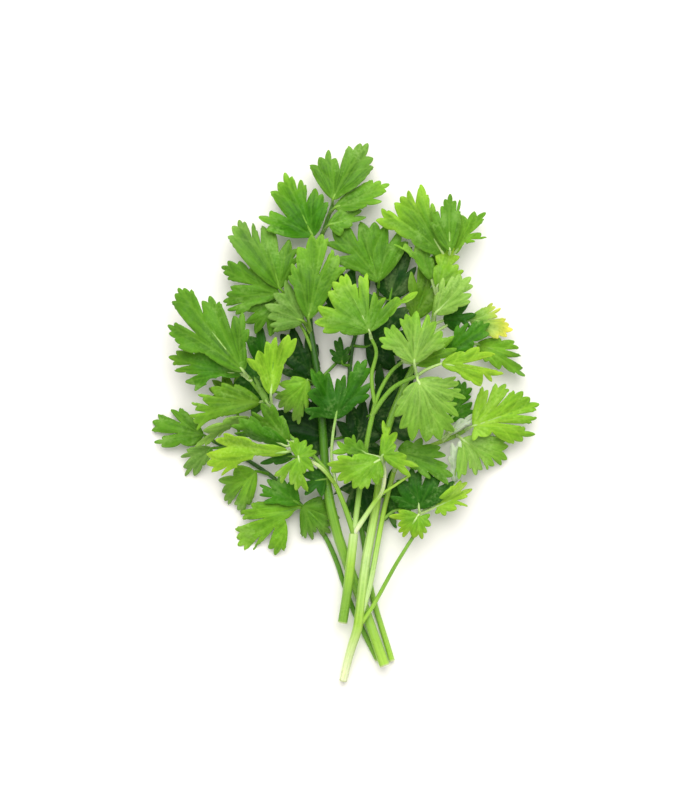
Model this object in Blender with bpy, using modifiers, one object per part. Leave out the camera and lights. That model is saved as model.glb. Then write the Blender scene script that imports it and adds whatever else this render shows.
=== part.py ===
"""A cut bunch of flat-leaved green herb, lying on its side on a level surface.

Five leafy stalks lie over each other. Each stalk is one solid: its stem and side stems, and the
leaflets that grow from them. The stalks are laid one after the other, and each keeps above all
that already lies there, so no stalk cuts through another.

Plan positions are in millimetres, +X to the right and +Y from the cut ends to the leaf tips.
The heights are worked out from what lies below.
"""

import math
from collections import namedtuple

import bmesh
import bpy
import numpy as np
from mathutils import Vector
from mathutils.geometry import delaunay_2d_cdt

MM = 0.001

# Driving dimensions, in millimetres
BLADE_THICKNESS = 0.7
CLEARANCE = 0.8
FLOOR_SINK = 0.3
BASE_HALF_WIDTH = 0.9
PETIOLE_RADIUS = 0.7
PETIOLE_SPACING = 6.0
STEM_SPACING = 7.0

# Neighbouring leaflets rest at slightly unlike heights, on petioles of slightly unlike size
REST_STEP = 0.06
REST_STEPS = 5
ROOT_SWELL = 1.04
ROOT_STEP = 0.02

# The midrib, as shares of the blade's length and as sizes. Past a sharp turn, as the cosine of its
# angle, it is a tube of its own.
RIB_START = 0.12
RIB_REACH = 0.42
RIB_END_RADIUS = 0.42
RIB_DROP = 0.45
SHARP_TURN = 0.35

# The cut edge: how deep the nicks between teeth and the notches between lobes go
TOOTH_DEPTH = 0.42
TOOTH_DEPTH_MOST = 3.2
TOOTH_DEPTH_SHARE = 0.4
LOBE_HEART = 0.5
NOTCH_SHARE = 0.72
EDGE_LENGTH = 11.0

# The triangles inside a blade
GRID_SPACING = 8.5
GRID_MARGIN = 1.0
EDGE_CLEAR = 2.4

# The heap of what lies below, as heights on a square grid
CELL = 1.0
HEAP_X = (-90.0, 90.0)
HEAP_Y = (-122.0, 122.0)
BLADE_CELLS = 6
STEM_CELLS = 1
RIM = 0.8

# How a blade and a stem settle on the heap
BLADE_EASE = 1.6
STEM_EASE = 0.8
OWN_REACH = 7.0
STEM_STEP = 2.0
WEAVE = 3.0
LIFT = 2.4

# How a blade arches, as shares of its length
FOLD_ROUND = 0.004
DROOP = 1.6
DROOP_START = 0.15
PITCH = 0.2
SWAY = 0.16
SWAY_TURN = np.array([1.7, 0.9])
WAVE_TURN = 3.1

# A smooth curve's steps between two of its points, and the distance at which a mesh's doubles merge
CURVE_STEPS = 20
WELD = 0.00001

Stem = namedtuple("Stem", "points radii rise stiff sides")
Leaf = namedtuple("Leaf", "route lobes cuts rise fold droop roll wave radius")


def stem(points, radii, rise=0.0, stiff=6.0, sides=1):
    """A stem through plan points, with radii at even steps along it. sides is its bevel resolution:
    0, 1, 2 give 4, 6, 8 sides."""
    return Stem(points, radii, rise, stiff, sides)


def leaf(route, lobes, cuts=(), rise=2.0, fold=0.10, droop=0.35, roll=0.0, wave=0.04, radius=PETIOLE_RADIUS):
    """A leaflet. route runs from its joint to its base, lobes hold the tips of its teeth in order,
    and cuts are the deep notches between lobes."""
    return Leaf(route, lobes, cuts, rise, fold, droop, roll, wave, radius)


def stalk_left():
    """The thin dark stalk whose leaves spread to the lower left."""
    return [
        stem([(13.2, -99.3), (8.3, -89.5), (4.2, -81), (0, -70), (-4, -58), (-9, -48), (-18, -36.5),
              (-28, -26.5), (-34, -22), (-41, -17.5), (-48, -13.5), (-53, -11)],
             (1.05, 0.7), stiff=12, sides=2),
        leaf([(-53, -11), (-57, -8.5)],
             [[(-66.3, 2.5), (-70.3, 1.9)], [(-75.3, 0), (-77.6, -3), (-77.8, -6.9)],
              [(-73.5, -9.3), (-76.8, -11.4), (-73.8, -13.3), (-61, -12.9)]],
             [(-67.2, -3), (-68, -7.8)], rise=1.5),
        leaf([(-48, -13.5), (-53.5, -13.8)],
             [[(-63.5, -14.2), (-66, -17.3)], [(-65.2, -21.5), (-64.4, -25)], [(-60.8, -25.4), (-56, -20.3)]],
             [(-63, -17.8), (-62.2, -22.8)], droop=0.5),
        leaf([(-41, -17.5), (-43, -6), (-43, 3)],
             [[(-54, 6.5), (-54.8, 10.5)], [(-53.5, 13.5), (-48.5, 16.8)], [(-43, 17), (-38.5, 14)]],
             droop=0.2),
        leaf([(-31, -24), (-36, -23)],
             [[(-43.5, -20.5), (-50.8, -26.5), (-49.6, -31.5), (-48.6, -35), (-47.1, -36.9)],
              [(-44.7, -36.8), (-43.3, -38.8), (-41.7, -40.7), (-38, -36.5)]],
             [(-41.6, -29.6)], droop=0.4),
        leaf([(-9, -48), (-14, -41), (-17, -36.8)],
             [[(-17.3, -49.2), (-15.9, -50)], [(-13, -50.7), (-11.6, -47.6)],
              [(-8.6, -49.8), (-5.6, -48), (-5.6, -44.6)], [(-2.2, -42), (-3.2, -38)],
              [(-4.5, -34.4), (-9.5, -33)]],
             [(-15, -48.4), (-10.8, -46.3), (-6, -43.2), (-6.5, -37)], droop=0.4, fold=0.06),
        leaf([(-14, -41), (-17.5, -37.3)],
             [[(-37.5, -36), (-41.8, -39.5), (-41.2, -42.4)],
              [(-44.3, -46.2), (-43.7, -50), (-43.3, -53), (-40.4, -55)],
              [(-37, -55), (-34.3, -52.5)], [(-31, -54.3), (-28.3, -57), (-24.4, -55)],
              [(-19.6, -38.6)]],
             [(-34, -42.4), (-36, -50), (-29.6, -46.6), (-25, -43)], droop=0.5, fold=0.05),
        leaf([(-16, -39), (-18.5, -35.8)],
             [[(-21, -26.5), (-26.5, -25), (-31.3, -26.3)], [(-34.2, -28.3), (-33.2, -30.4), (-34.3, -32.5)],
              [(-32.6, -35.4), (-27, -36)]],
             [(-31, -29), (-30.8, -33)], rise=3, droop=0.25, fold=0.14),
    ]


def stalk_right():
    """The thin dark stalk that fills the shaded middle of the bunch."""
    return [
        stem([(18.9, -99.6), (16, -90), (12.3, -78), (9.6, -66), (8, -54), (5.5, -40), (2.5, -22), (1.2, -5),
              (1.6, 12), (3, 27), (7, 39), (13, 47)], (1.15, 0.75), stiff=12, sides=2),
        leaf([(3, 27), (-4, 20), (-12, 12)],
             [[(-21, 13), (-27, 18)], [(-28, 25), (-26, 32), (-21, 35.5)], [(-15, 34), (-11, 28), (-10, 20)]],
             [(-22, 18.5), (-17, 28)], rise=1, droop=0.15),
        leaf([(1.4, 4), (-10, 6), (-22, 7.5), (-28, 9)],
             [[(-27, 19), (-27.5, 29)], [(-34, 37), (-40, 31)], [(-44, 22), (-44.5, 12)],
              [(-43, 4), (-37, -1)]],
             [(-31, 25), (-38, 24), (-38, 8)], rise=1, droop=0.2),
        leaf([(1.2, -8), (-4, -10)],
             [[(-13, -18), (-21, -15.5)], [(-28.5, -7), (-27, 1.5)], [(-20, 8), (-11, 7)], [(-6, 2)]],
             [(-21, -10), (-21, 1), (-9, 2)], rise=1, droop=0.2),
        leaf([(2.2, -16), (3.6, -14)],
             [[(10, -17.5), (16, -16)], [(17.5, -6), (15, 3.5)], [(8, 6), (1.5, 4)], [(-3.5, -3)]],
             [(13, -11), (10, -1), (0.5, -2.5)], rise=1, droop=0.2),
        leaf([(3, 27), (8, 27)],
             [[(11, 17), (20, 17.5)], [(29, 25), (29.5, 34)], [(26, 43), (18, 46)], [(11.5, 43)]],
             [(21, 23), (23, 34), (14, 41)], rise=1, droop=0.15),
        leaf([(4.5, 31), (0.5, 38)],
             [[(-9.5, 42), (-9, 50)], [(-4, 59), (3.5, 58.5)], [(10, 55), (12, 47)]],
             [(-5.5, 50), (5, 51.5)], rise=1, droop=0.15),
        leaf([(2.2, 20), (0, 22), (-1, 20)],
             [[(-5.5, 22), (-6, 26)], [(-4.2, 29.5), (-2, 31)], [(1.5, 27), (2, 23)]], rise=1, droop=0.2),
        leaf([(13, 47), (18, 46)],
             [[(12, 52), (11.5, 58)], [(14, 63.5), (18, 67)], [(23, 68.5), (27, 67)], [(28.5, 59), (28, 51)]],
             [(14.5, 57), (20, 61), (25.5, 58)], rise=2, droop=0.15),
        leaf([(13, 47), (13.5, 53)],
             [[(5, 57), (-1, 58), (-4.5, 62)], [(-8, 68), (-5, 74), (0.5, 76.3)],
              [(6, 77.2), (12, 77), (17, 75.6)], [(22, 73.6), (25.5, 69)]],
             [(1, 65), (4, 71), (18, 70)], rise=4, droop=0.2),
        leaf([(7, 39), (18, 38), (28, 38)],
             [[(24, 46), (26.5, 57)], [(31.5, 66), (38, 65)], [(39, 54), (37, 44)]], [(29, 54), (35, 52)],
             rise=1, droop=0.1),
        leaf([(1.2, -5), (6, -2.5), (10, -0.5)],
             [[(12, 10), (14, 20)], [(22, 22), (28, 19)], [(36, 15), (39.5, 8)], [(39, 0), (33, -7)],
              [(26, -11), (18, -12)]],
             [(17, 14), (29, 12), (33, 3), (27, -4)], rise=1, droop=0.15),
        leaf([(3.4, -28), (4.6, -27)],
             [[(-4.5, -32), (-1, -31)], [(0.6, -40), (3.6, -42)], [(8.6, -48), (12, -46)],
              [(14, -37), (13, -29.5)]],
             [(1.4, -33), (5.6, -38), (10.6, -38.5)], rise=0, droop=0.2),
        leaf([(5.5, -40), (12, -34), (17, -33)],
             [[(15, -26), (19.5, -22)], [(24, -26), (27, -30)], [(26, -36), (22, -40)],
              [(20.5, -46), (15.5, -43)]],
             [(19, -28), (23, -32), (20, -39)], rise=0, droop=0.25),
    ]


def stalk_middle():
    """The stout stalk that carries the top leaf and the upper left of the bunch."""
    return [
        stem([(16, -101.2), (11.6, -89), (6.6, -75), (1, -60), (-3.6, -46), (-7.3, -28), (-8.8, -8),
              (-10.2, 10), (-12.3, 24), (-14.2, 37), (-14, 48), (-12.3, 59), (-9.7, 70), (-7.4, 77),
              (-5, 84)],
             (2.0, 1.9, 1.3, 0.7), rise=2, stiff=12, sides=2),
        leaf([(-7.3, -30), (-7.5, -26)],
             [[(-9, -20.5), (-15, -20.8), (-17.5, -24)], [(-18.5, -28), (-16, -32.5)], [(-9, -33)]],
             [(-14.5, -26.5), (-12, -30)], rise=1, droop=0.15),
        leaf([(-8, -20), (-16, -18), (-21, -17)],
             [[(-27, -13.5), (-34, -15.2)], [(-34, -19.8), (-27.5, -20.4)]], rise=1, droop=0.1),
        leaf([(-12.3, 24), (-18, 36), (-27, 45.5)],
             [[(-35, 44.5), (-41.3, 42)], [(-40, 36.5), (-36, 32)], [(-30, 31), (-24, 34)]],
             [(-37.5, 40), (-32, 36)], rise=1, droop=0.25),
        leaf([(-13.4, 31), (-19, 41), (-26.5, 48)],
             [[(-37, 59), (-42.3, 61.2), (-47, 61.3), (-49.6, 59), (-48.7, 56.6), (-47, 54)],
              [(-45.8, 51.2), (-47.6, 48.2), (-49, 45), (-47.8, 43.2)],
              [(-47.2, 41.6), (-43.5, 39.8), (-36, 43.5)]],
             [(-38, 52), (-43, 44.2)], rise=2, droop=0.3),
        leaf([(-14.2, 37), (-19, 44), (-26, 50)],
             [[(-46.9, 70.8), (-45.2, 75.2), (-42.5, 77.7), (-40.2, 77)], [(-37, 76.5), (-35.4, 73.6)],
              [(-33.3, 75.6), (-28.5, 74.5)], [(-22.3, 69.5), (-18.8, 66)], [(-18.2, 63), (-20, 59.5)]],
             [(-38.7, 73.2), (-34.6, 70.5), (-26.5, 66.5), (-20, 63.6)], rise=3, droop=0.3),
        leaf([(-12.3, 59), (-13, 66), (-13, 71)],
             [[(-31.3, 73.2), (-34.5, 79.3), (-30, 81.4)], [(-30, 89), (-27, 93), (-24, 96.6), (-21, 95.2)],
              [(-17.8, 94), (-15.6, 91.8)], [(-12, 90.5), (-9, 88), (-6.6, 84.5)]],
             [(-24.5, 79.5), (-19.9, 92.2), (-15.8, 86.5)], rise=2, droop=0.3),
        leaf([(-8.6, 73), (-6.5, 75.5)],
             [[(-0.5, 82.6), (6.8, 81.7)], [(8.5, 79.3), (3, 75.2), (-2, 71)]], [(5, 79.7)],
             rise=1, droop=0.15),
        leaf([(-6.4, 80), (-4, 82.5)],
             [[(10.8, 93.7), (14.2, 93.3), (17.7, 92), (16.5, 89)], [(14.9, 85.1), (8.5, 82.6)]],
             [(13.2, 87)], rise=2, droop=0.3),
        leaf([(-5, 84), (-4.8, 86)],
             [[(-14.1, 99.4), (-10.4, 102.8), (-6.6, 106.1), (-3.6, 102.4)],
              [(1.2, 107.2), (6, 108.6), (9.4, 108.8), (11.4, 102.6), (11.4, 98.6)]],
             [(-1.8, 99.3)], rise=2, droop=0.35),
        leaf([(-14, 36), (-16.5, 37)],
             [[(-23.5, 53.5), (-28.5, 48)], [(-32, 43.5), (-31, 38.5)], [(-30, 35.5), (-28.5, 32.8)]],
             [(-27.5, 44.5), (-28.5, 37)], rise=3, droop=0.2),
        leaf([(-13.8, 34), (-14.5, 38)],
             [[(-20.5, 50.5), (-22.6, 55), (-21.2, 60)], [(-19, 66.5), (-13.5, 71.4), (-9, 71.8), (-6.5, 70)],
              [(-5, 65.6), (-2.5, 63.2), (0.3, 58.2), (-2, 55.4), (-4.6, 52)]],
             [(-19.6, 60.5), (-10, 57.5)], rise=4, droop=0.22, fold=0.14),
        leaf([(-10.4, 12), (-12, 14), (-15, 13.5)],
             [[(-21, 15), (-26.5, 12)], [(-28.4, 6.5), (-26.6, 2.7), (-24, 0.5)],
              [(-21, -2.9), (-18.6, -4.2), (-16.9, -1.2)], [(-15.4, 1.2), (-13.8, 7)]],
             [(-24.5, 9.5), (-21.5, 0.5), (-16.6, 3)], rise=4, droop=0.55, fold=0.05),
    ]


def stalk_long():
    """The long pale stalk that forks low down into two stout stems and a thin one, all to the right."""
    return [
        stem([(-0.8, -107.5), (1.8, -96.5), (5, -86), (6.4, -75), (8.2, -60), (10.6, -47), (13, -33),
              (14.8, -18), (18, -3), (24, 12), (30.5, 25), (35, 35), (36.3, 46), (38.6, 56), (41.5, 63)],
             (1.45, 1.9, 1.8, 1.6, 1.4, 1.2, 0.95, 0.7), rise=1, stiff=12, sides=2),
        stem([(5.4, -85), (9.6, -70), (12.4, -56), (14.4, -45), (17, -33), (21, -20.5), (28, -15.5),
              (36.5, -12),
              (44, -9), (50, -5.5)], (1.2, 0.75), rise=-2),
        stem([(5.2, -86), (11.2, -77), (20, -61), (27, -49.5), (29.6, -44), (30, -40)], (0.85, 0.65), rise=1),
        stem([(14.6, -44), (17.4, -40.3), (21.5, -38.3), (26.5, -38.8)], (0.6, 0.5), sides=0),
        leaf([(38, -11.4), (41.5, -7), (42.5, -2)],
             [[(45.5, 13.6), (48.5, 13), (51.2, 10.4), (50.8, 7)], [(51.2, 4.7), (52.2, 1.1), (47, -4)]],
             [(47.2, 4.2)], rise=-2, droop=0.1),
        leaf([(40, -10.5), (43, -7)],
             [[(46, -1.8), (52.3, 0.2)], [(51.5, -2.4), (47.5, -5.2)]], rise=2, droop=0.1, fold=0.02),
        leaf([(30, -40), (29.6, -38)],
             [[(21.5, -37.6), (18, -33)], [(20.5, -26.5), (26.5, -21.5), (30, -22.5)],
              [(33.5, -23), (38.5, -23)], [(43.5, -27), (39.5, -34)]],
             [(21.8, -32.5), (30.8, -27.5), (38, -28)], rise=1, droop=0.1, fold=0.15),
        leaf([(30, -41.5), (29.3, -40.3)],
             [[(21.5, -38.2), (17.4, -41.2)], [(21, -44.6), (21.4, -47.2), (23.3, -49.3)],
              [(27.3, -49.5), (31, -50.3), (32.8, -47.6)], [(34.2, -44.6), (34, -40)]],
             [(21.5, -42.8), (25.3, -47.4), (32.3, -45.6)], rise=2, droop=0.5, fold=0.04),
        leaf([(30, -41), (33, -38.3), (36.3, -37)],
             [[(43.3, -28.2), (46.3, -26.5), (48.7, -27.4)], [(51.3, -30), (49.3, -33)],
              [(49.2, -36.9), (46, -36.4)], [(44.8, -38), (40, -40.7), (36, -39.8)]],
             [(47.2, -30), (46, -34.2), (44.6, -36)], rise=1, droop=0.35),
        leaf([(33, -38.3), (38.8, -33), (43.8, -27)],
             [[(42.2, -21), (41.2, -17), (42.6, -11.5)], [(46, -10.6), (47.4, -14), (47.4, -20)]],
             [(44.3, -11.8)], rise=1, droop=0.1, fold=0.02, wave=0.0),
        leaf([(20, -23), (20.8, -15)],
             [[(24.5, -10.5), (30.5, -9.5), (38, -13), (40.3, -16.7)],
              [(41, -20.5), (43, -24.5), (41, -28.2)], [(34, -25.8), (28, -22.5)]],
             [(37.2, -18), (34.5, -23.8)], rise=4, droop=0.35),
        leaf([(44, -9), (46.8, -10)],
             [[(64.6, -10), (65.7, -13), (65.4, -18.4), (63, -20.9)],
              [(60, -20.8), (57.2, -22.5), (55.9, -20.3)], [(55, -22.4), (52.7, -24.4), (50, -21.8)],
              [(48, -24.3), (45.3, -26)]],
             [(60.3, -18.3), (54.9, -17.8), (49.5, -18.8)], rise=1, droop=0.3),
        leaf([(49, -6), (51.2, -4.8)],
             [[(54.7, 11), (57.2, 9.6)], [(60, 12.3), (64.4, 12.1), (65.6, 9.8)],
              [(67.3, 9.5), (71.2, 9.1), (74.3, 6.6), (78.2, 4), (76.6, 1.4)], [(77, -1.6), (75, -3.8)],
              [(72.2, -5.4), (76.4, -8.2), (71.2, -10.9), (67.5, -12.1)], [(57, -9), (51, -10.6)]],
             [(57.3, 5.2), (61.5, 3.4), (71, 0.3), (62, -3.2), (60, -7.6)], rise=3, droop=0.3),
        leaf([(28, 19.5), (42, 26), (53, 28)],
             [[(62, 30.6), (68, 29.2), (69.8, 26.4)], [(71, 23.2)], [(71.6, 18.6), (72, 14.8), (67.8, 16)],
              [(62, 18), (56, 21)]],
             [(65.5, 25.5), (66.3, 22), (64.3, 18.6)], rise=0, droop=0.35),
        leaf([(33, 30.5), (41.5, 36), (50, 37.5)],
             [[(56.3, 43), (59.1, 44.5), (60.3, 42.8)], [(62.5, 42.4), (61, 38.8)],
              [(64.3, 38.3), (65.9, 36), (67.3, 33.8), (64.8, 31), (61, 30)]],
             [(58.8, 40.8), (58, 37.6)], rise=1, droop=0.3),
        leaf([(35, 35), (39.5, 37.5)],
             [[(42, 42.8), (49.8, 45)], [(52.5, 40), (50, 34.5)], [(44, 33)]], [(47.5, 40.6), (47, 37)],
             rise=0, droop=0.2),
        leaf([(33, 30.5), (40, 23.5)],
             [[(43, 31), (44.8, 35.4), (49, 36.2)],
              [(52.3, 37.4), (55, 37.3), (57.9, 36.3), (57.8, 32), (51, 26.5)]],
             [(49.2, 33.8)], rise=3, droop=0.25, fold=0.15),
        leaf([(36.6, 48), (34.6, 54)],
             [[(27.5, 62), (19.4, 67.7), (24, 68.2)], [(29, 69), (33.5, 67.5)], [(35.6, 61.5)]],
             [(26.5, 66.2), (33.8, 64)], rise=1, droop=0.15),
        leaf([(36.5, 47), (36.8, 51)],
             [[(35.4, 58), (36.5, 64.5), (40, 66.5), (43.5, 68.4), (46, 63)],
              [(45.3, 59.8), (47.7, 57.4), (46, 53.5)]],
             [(43.8, 60.6)], rise=1, droop=0.2),
        leaf([(35.2, 36), (36, 40)],
             [[(36.4, 48), (39.2, 54.4)], [(42.8, 55), (46, 56), (50.3, 54.8), (51.2, 51)],
              [(50.5, 48), (50, 44.7), (44.5, 41)]],
             [(40.4, 51.5), (48.5, 49.4)], rise=3, droop=0.22, fold=0.14),
        leaf([(40.5, 61), (43.8, 64.5)],
             [[(46.5, 79.5), (52, 81.3), (56.6, 81), (55.8, 77.9)], [(54.4, 72.5), (56.7, 70.6)],
              [(52, 69), (48, 68.6)]],
             [(50.8, 73.1), (51, 70.6)], rise=1, droop=0.3),
        leaf([(40, 59.5), (39.5, 63.5)],
             [[(28, 67), (20.5, 72.6), (12.6, 77.2), (14.7, 82), (17.6, 81.5)],
              [(19.6, 84.4), (22.3, 86.9), (25.5, 89.4)], [(30.4, 91.9), (33.2, 87.8)],
              [(34.8, 84.2), (36.9, 80)]],
             [(19, 80.6), (26.4, 87), (33, 84.4)], rise=2, droop=0.3),
        leaf([(41.5, 63), (41.8, 65)],
             [[(33.8, 76), (34.2, 80.2), (36.8, 80.8)],
              [(38.2, 82.7), (39.7, 85.7), (41.9, 88.1), (44.2, 85)],
              [(45.8, 85.4), (46, 80.5)]],
             [(37.6, 79.6), (44.7, 82.6)], rise=4, droop=0.25),
    ]


def stalk_forked():
    """The stout pale stalk on top, which forks in three and carries the leaves in front."""
    return [
        stem([(-1, -83.8), (0.8, -72), (2.2, -60), (3.5, -48)], (1.85, 1.75), stiff=12, sides=2),
        stem([(3.5, -49), (0.2, -38), (-3.8, -28.5), (-8, -22.8), (-13, -19), (-17, -17.2)],
             (1.15, 0.65), rise=3),
        stem([(-4.6, -27.2), (-9, -20.5), (-15, -14.5), (-23, -8), (-30, 3), (-35.5, 10.5), (-39, 15)],
             (0.8, 0.65), rise=1),
        leaf([(-3.8, -28.5), (-5.4, -16), (-4.8, -8), (-3.8, -2)],
             [[(-9, -1.4), (-14.5, -2.4), (-16.2, 1.6)], [(-15, 8), (-13.6, 17.9), (-10, 17.4), (-6.5, 16.4)],
              [(-3.2, 14.2), (0, 15.6)], [(2.4, 17), (5, 21.4), (8.6, 21.7), (10.4, 18)],
              [(10.6, 12.5), (9.9, 7.2), (4, 3)]],
             [(-11.2, 3.4), (-4.4, 10.6), (0.8, 11.6), (7.6, 12.4)], rise=1, droop=0.2, fold=0.03),
        leaf([(-31, 4.5), (-34, 4.8)],
             [[(-43.5, 12), (-49, 12.4), (-53.5, 10.6)], [(-58.6, 7.8), (-56.8, 5.6)],
              [(-61.5, 4.4), (-60, 1.6)],
              [(-62.4, -0.8), (-60.6, -3), (-59, -6.5), (-50, -1.2)]],
             [(-53.8, 7), (-57, 3), (-58.4, 0.2)], rise=1, droop=0.25),
        leaf([(-27, -1.5), (-33, -2), (-38, -2)],
             [[(-47, -1.4), (-56.5, -6.6)], [(-59.9, -12.9), (-55.6, -12.7)], [(-50.5, -9.2), (-45.5, -5.6)]],
             [(-55.6, -9), (-51, -8)], rise=-1, droop=0.15, fold=0.2),
        leaf([(-38, 13.8), (-41.5, 16)],
             [[(-50, 22.5), (-59, 26), (-67.5, 25.3), (-70.3, 22.8), (-68.7, 19.8)],
              [(-68.3, 17.4), (-63.4, 16.2)], [(-63.9, 12.8), (-60.3, 9.6), (-55.5, 12.8), (-50, 15)]],
             [(-64, 20.2), (-60.6, 15.8)], rise=0, droop=0.3),
        leaf([(-39, 15), (-40.3, 17)],
             [[(-39.3, 27), (-38, 33.5), (-40.6, 40.5), (-44.2, 39)],
              [(-49.8, 44.7), (-53.8, 47.1), (-57, 45)],
              [(-61.2, 49.9), (-64.3, 50.4), (-66.7, 50.4), (-68, 48), (-69.4, 44.8)],
              [(-67.8, 36.4), (-70.7, 35.5), (-70.4, 32.2), (-67.9, 29.6), (-66.3, 26.6), (-56, 24)]],
             [(-46, 36), (-58.7, 43), (-61.8, 34)], rise=2, droop=0.3, fold=0.06),
        leaf([(-29.5, 2.5), (-31, 4.5)], [[(-34.5, 10), (-38.6, 15.6)], [(-36, 14.8), (-32.3, 10)]],
             rise=2, droop=0.1, fold=0.02),
        leaf([(-29, 1.5), (-29.4, 8)],
             [[(-34, 15.5), (-38.3, 21.7), (-34.5, 25.2)], [(-31, 28.6), (-27.3, 30.4)],
              [(-22.6, 31.4), (-19, 29.8), (-24, 20)]],
             [(-32, 25.6), (-26.4, 28.6)], rise=3, droop=-0.1, fold=0.7, wave=0.01),
        leaf([(-19.5, -11), (-22.5, -11)],
             [[(-24.5, -1), (-28.5, 3.6), (-33.4, 4.2)], [(-37, 1), (-37.5, -3), (-32, -8)]],
             [(-33.5, 0)], rise=1, droop=0.3, fold=0.16),
        leaf([(-19, -11.5), (-23, -12.8)],
             [[(-31, -5), (-37.5, -0.8), (-42, -1.7), (-45.2, -4.7)], [(-44, -7.6), (-38, -10), (-31, -12)]],
             [(-42.2, -6)], rise=1, droop=0.3, fold=0.16),
        leaf([(-16, -14), (-23, -15)],
             [[(-35, -12), (-43.5, -9), (-48.3, -7.9), (-51.6, -10.6)],
              [(-55.2, -16), (-55.4, -20), (-53.4, -23.4)], [(-49.3, -24.6), (-43, -20.6), (-36, -16.6)]],
             [(-49.8, -13), (-50.5, -22)], rise=2, droop=0.3, fold=0.12, radius=0.8),
        leaf([(-17, -17.2), (-18.5, -17)],
             [[(-21.8, -11), (-19, -9.4), (-15.5, -10.4)], [(-13, -12.2), (-11, -14.9)],
              [(-12.2, -22.6), (-16, -23.6)], [(-14.7, -30.7), (-19.5, -30.4), (-21.8, -28)],
              [(-25.8, -28.1), (-28.3, -24.4)]],
             [(-15, -12.8), (-13.9, -17.2), (-16.8, -24.6), (-22.8, -23.6)], rise=2, droop=0.5, fold=0.04),
        stem([(3.8, -49), (5.2, -35), (7, -22), (8.8, -11), (10.4, -3), (12, 4)], (1.15, 0.9), rise=3),
        stem([(4.2, -49), (9, -39.5), (13.5, -32.7), (16.6, -28), (16.2, -24.6), (15, -21), (14.6, -17.5)],
             (1.05, 0.65), rise=4, stiff=3.0),
        stem([(13.5, -32.7), (18, -29.7), (22, -27), (26, -24.3)], (0.6, 0.5), sides=0),
        leaf([(14.6, -18), (9, -16)],
             [[(2, -16), (-5, -15.4), (-2.8, -11)], [(0, -9.3), (3.4, -8.1)], [(6, -10.2), (8.3, -13.8)]],
             [(-1.2, -11.6), (4, -11.2)], rise=0, droop=-0.1, fold=0.02),
        leaf([(15, -20.5), (14, -18)],
             [[(4, -15.9), (-3, -16.6), (-7, -20), (-5.5, -23.3)], [(-3, -26.4), (-0.4, -27.9)],
              [(2.8, -29.7), (6, -30.1), (8.9, -29.9)], [(12.8, -28.3), (15.2, -25.4)]],
             [(-3.4, -23.8), (1.2, -27.4), (10, -26.4)], rise=1, droop=0.45, fold=0.03),
        leaf([(14.6, -19), (14.8, -16.5)],
             [[(14.6, -8), (15.3, -2.5), (18, -5)], [(20.8, -7.3), (20.4, -12.6)],
              [(24.5, -16.4), (29.4, -21)],
              [(26, -24.7), (19, -21)]],
             [(17.4, -7.6), (20, -14.6), (24.6, -21)], rise=2, droop=0.3, fold=0.05),
        stem([(12, 4), (14.5, 10.5), (18.5, 17), (23, 21)], (0.8, 0.65), rise=1),
        leaf([(23, 21), (28, 20)],
             [[(35.5, 27.8), (43.5, 31)], [(44.5, 26), (37, 19)]], [(41, 26.8)], rise=0, droop=0.1, fold=0.3),
        stem([(11.4, 1), (15.5, 6.5), (20, 11), (25, 14), (28.6, 15.2)], (0.95, 0.8), rise=3),
        leaf([(28.6, 15.2), (33, 18), (38.5, 20)],
             [[(45, 24.8), (53, 26.6), (59.5, 23.8)], [(63, 16.2), (58.5, 12.6)],
              [(53.9, 11), (49.5, 13), (44.5, 16.2)]],
             [(47.5, 19.9), (57, 15.4)], rise=2, droop=0.35, fold=0.12),
        leaf([(28.6, 15.2), (28.8, 13.5)],
             [[(38.5, 14.4), (43.6, 14.1), (45, 11.4)], [(46, 9.8), (47.8, 6.2), (42.6, 5.2)],
              [(44.5, 4.2), (45, -0.9)], [(43.2, -3), (43.6, -7.2), (38, -10.4), (32, -11.2)],
              [(26.5, -10.7), (21.6, -5.6)], [(19.5, -1), (20.3, 4), (23, 9.4)]],
             [(42, 9.6), (41.6, 3.8), (41.4, -1), (29.4, -8.4), (22.2, -2)], rise=3, droop=0.4, fold=0.04),
        leaf([(28.2, 15.2), (27, 17.5), (27.4, 20)],
             [[(19, 24.6), (14.2, 26.6), (13.4, 30), (15.5, 34.5), (18.8, 35.5)],
              [(21.5, 37.6), (24.2, 39.7), (28.5, 41.2)], [(33, 39.6), (36.2, 36.6)],
              [(38.4, 33), (41.1, 30), (39.6, 27.2), (34, 23.6)]],
             [(24.8, 29.3), (30.6, 36), (36, 33)], rise=3, droop=0.3, fold=0.1),
        stem([(12, 4), (10.7, 12), (11, 18), (12.7, 23), (11.6, 27), (10.3, 30.5)], (0.85, 0.65), rise=2),
        leaf([(10.3, 30.5), (9.8, 32.5)],
             [[(0, 31.4), (-8.8, 32.2), (-12.3, 36.4), (-10.7, 42.7)],
              [(-6.9, 48.4), (-4.9, 52.4), (-1.8, 55.3), (0.4, 56.1), (4.4, 51.6)], [(5.6, 55), (8.9, 56)],
              [(11.6, 48.4), (16.4, 46.3)], [(20.5, 46.6), (28.9, 49), (21.4, 42.5), (15, 36)]],
             [(-5.6, 42.6), (5, 47.6), (9.4, 42), (15.2, 43)], rise=2, droop=0.28, fold=0.07),
    ]


STALKS = (
    ("stalk_left", stalk_left, (0.105, 0.30, 0.035)),
    ("stalk_right", stalk_right, (0.075, 0.24, 0.03)),
    ("stalk_middle", stalk_middle, (0.15, 0.36, 0.05)),
    ("stalk_long", stalk_long, (0.20, 0.42, 0.06)),
    ("stalk_forked", stalk_forked, (0.25, 0.48, 0.075)),
)


def smooth_max(a, b, ease):
    """The larger of two heights, rounded over where they meet, and never under either."""
    return 0.5 * (a + b + np.sqrt((a - b) ** 2 + ease**2))


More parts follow.
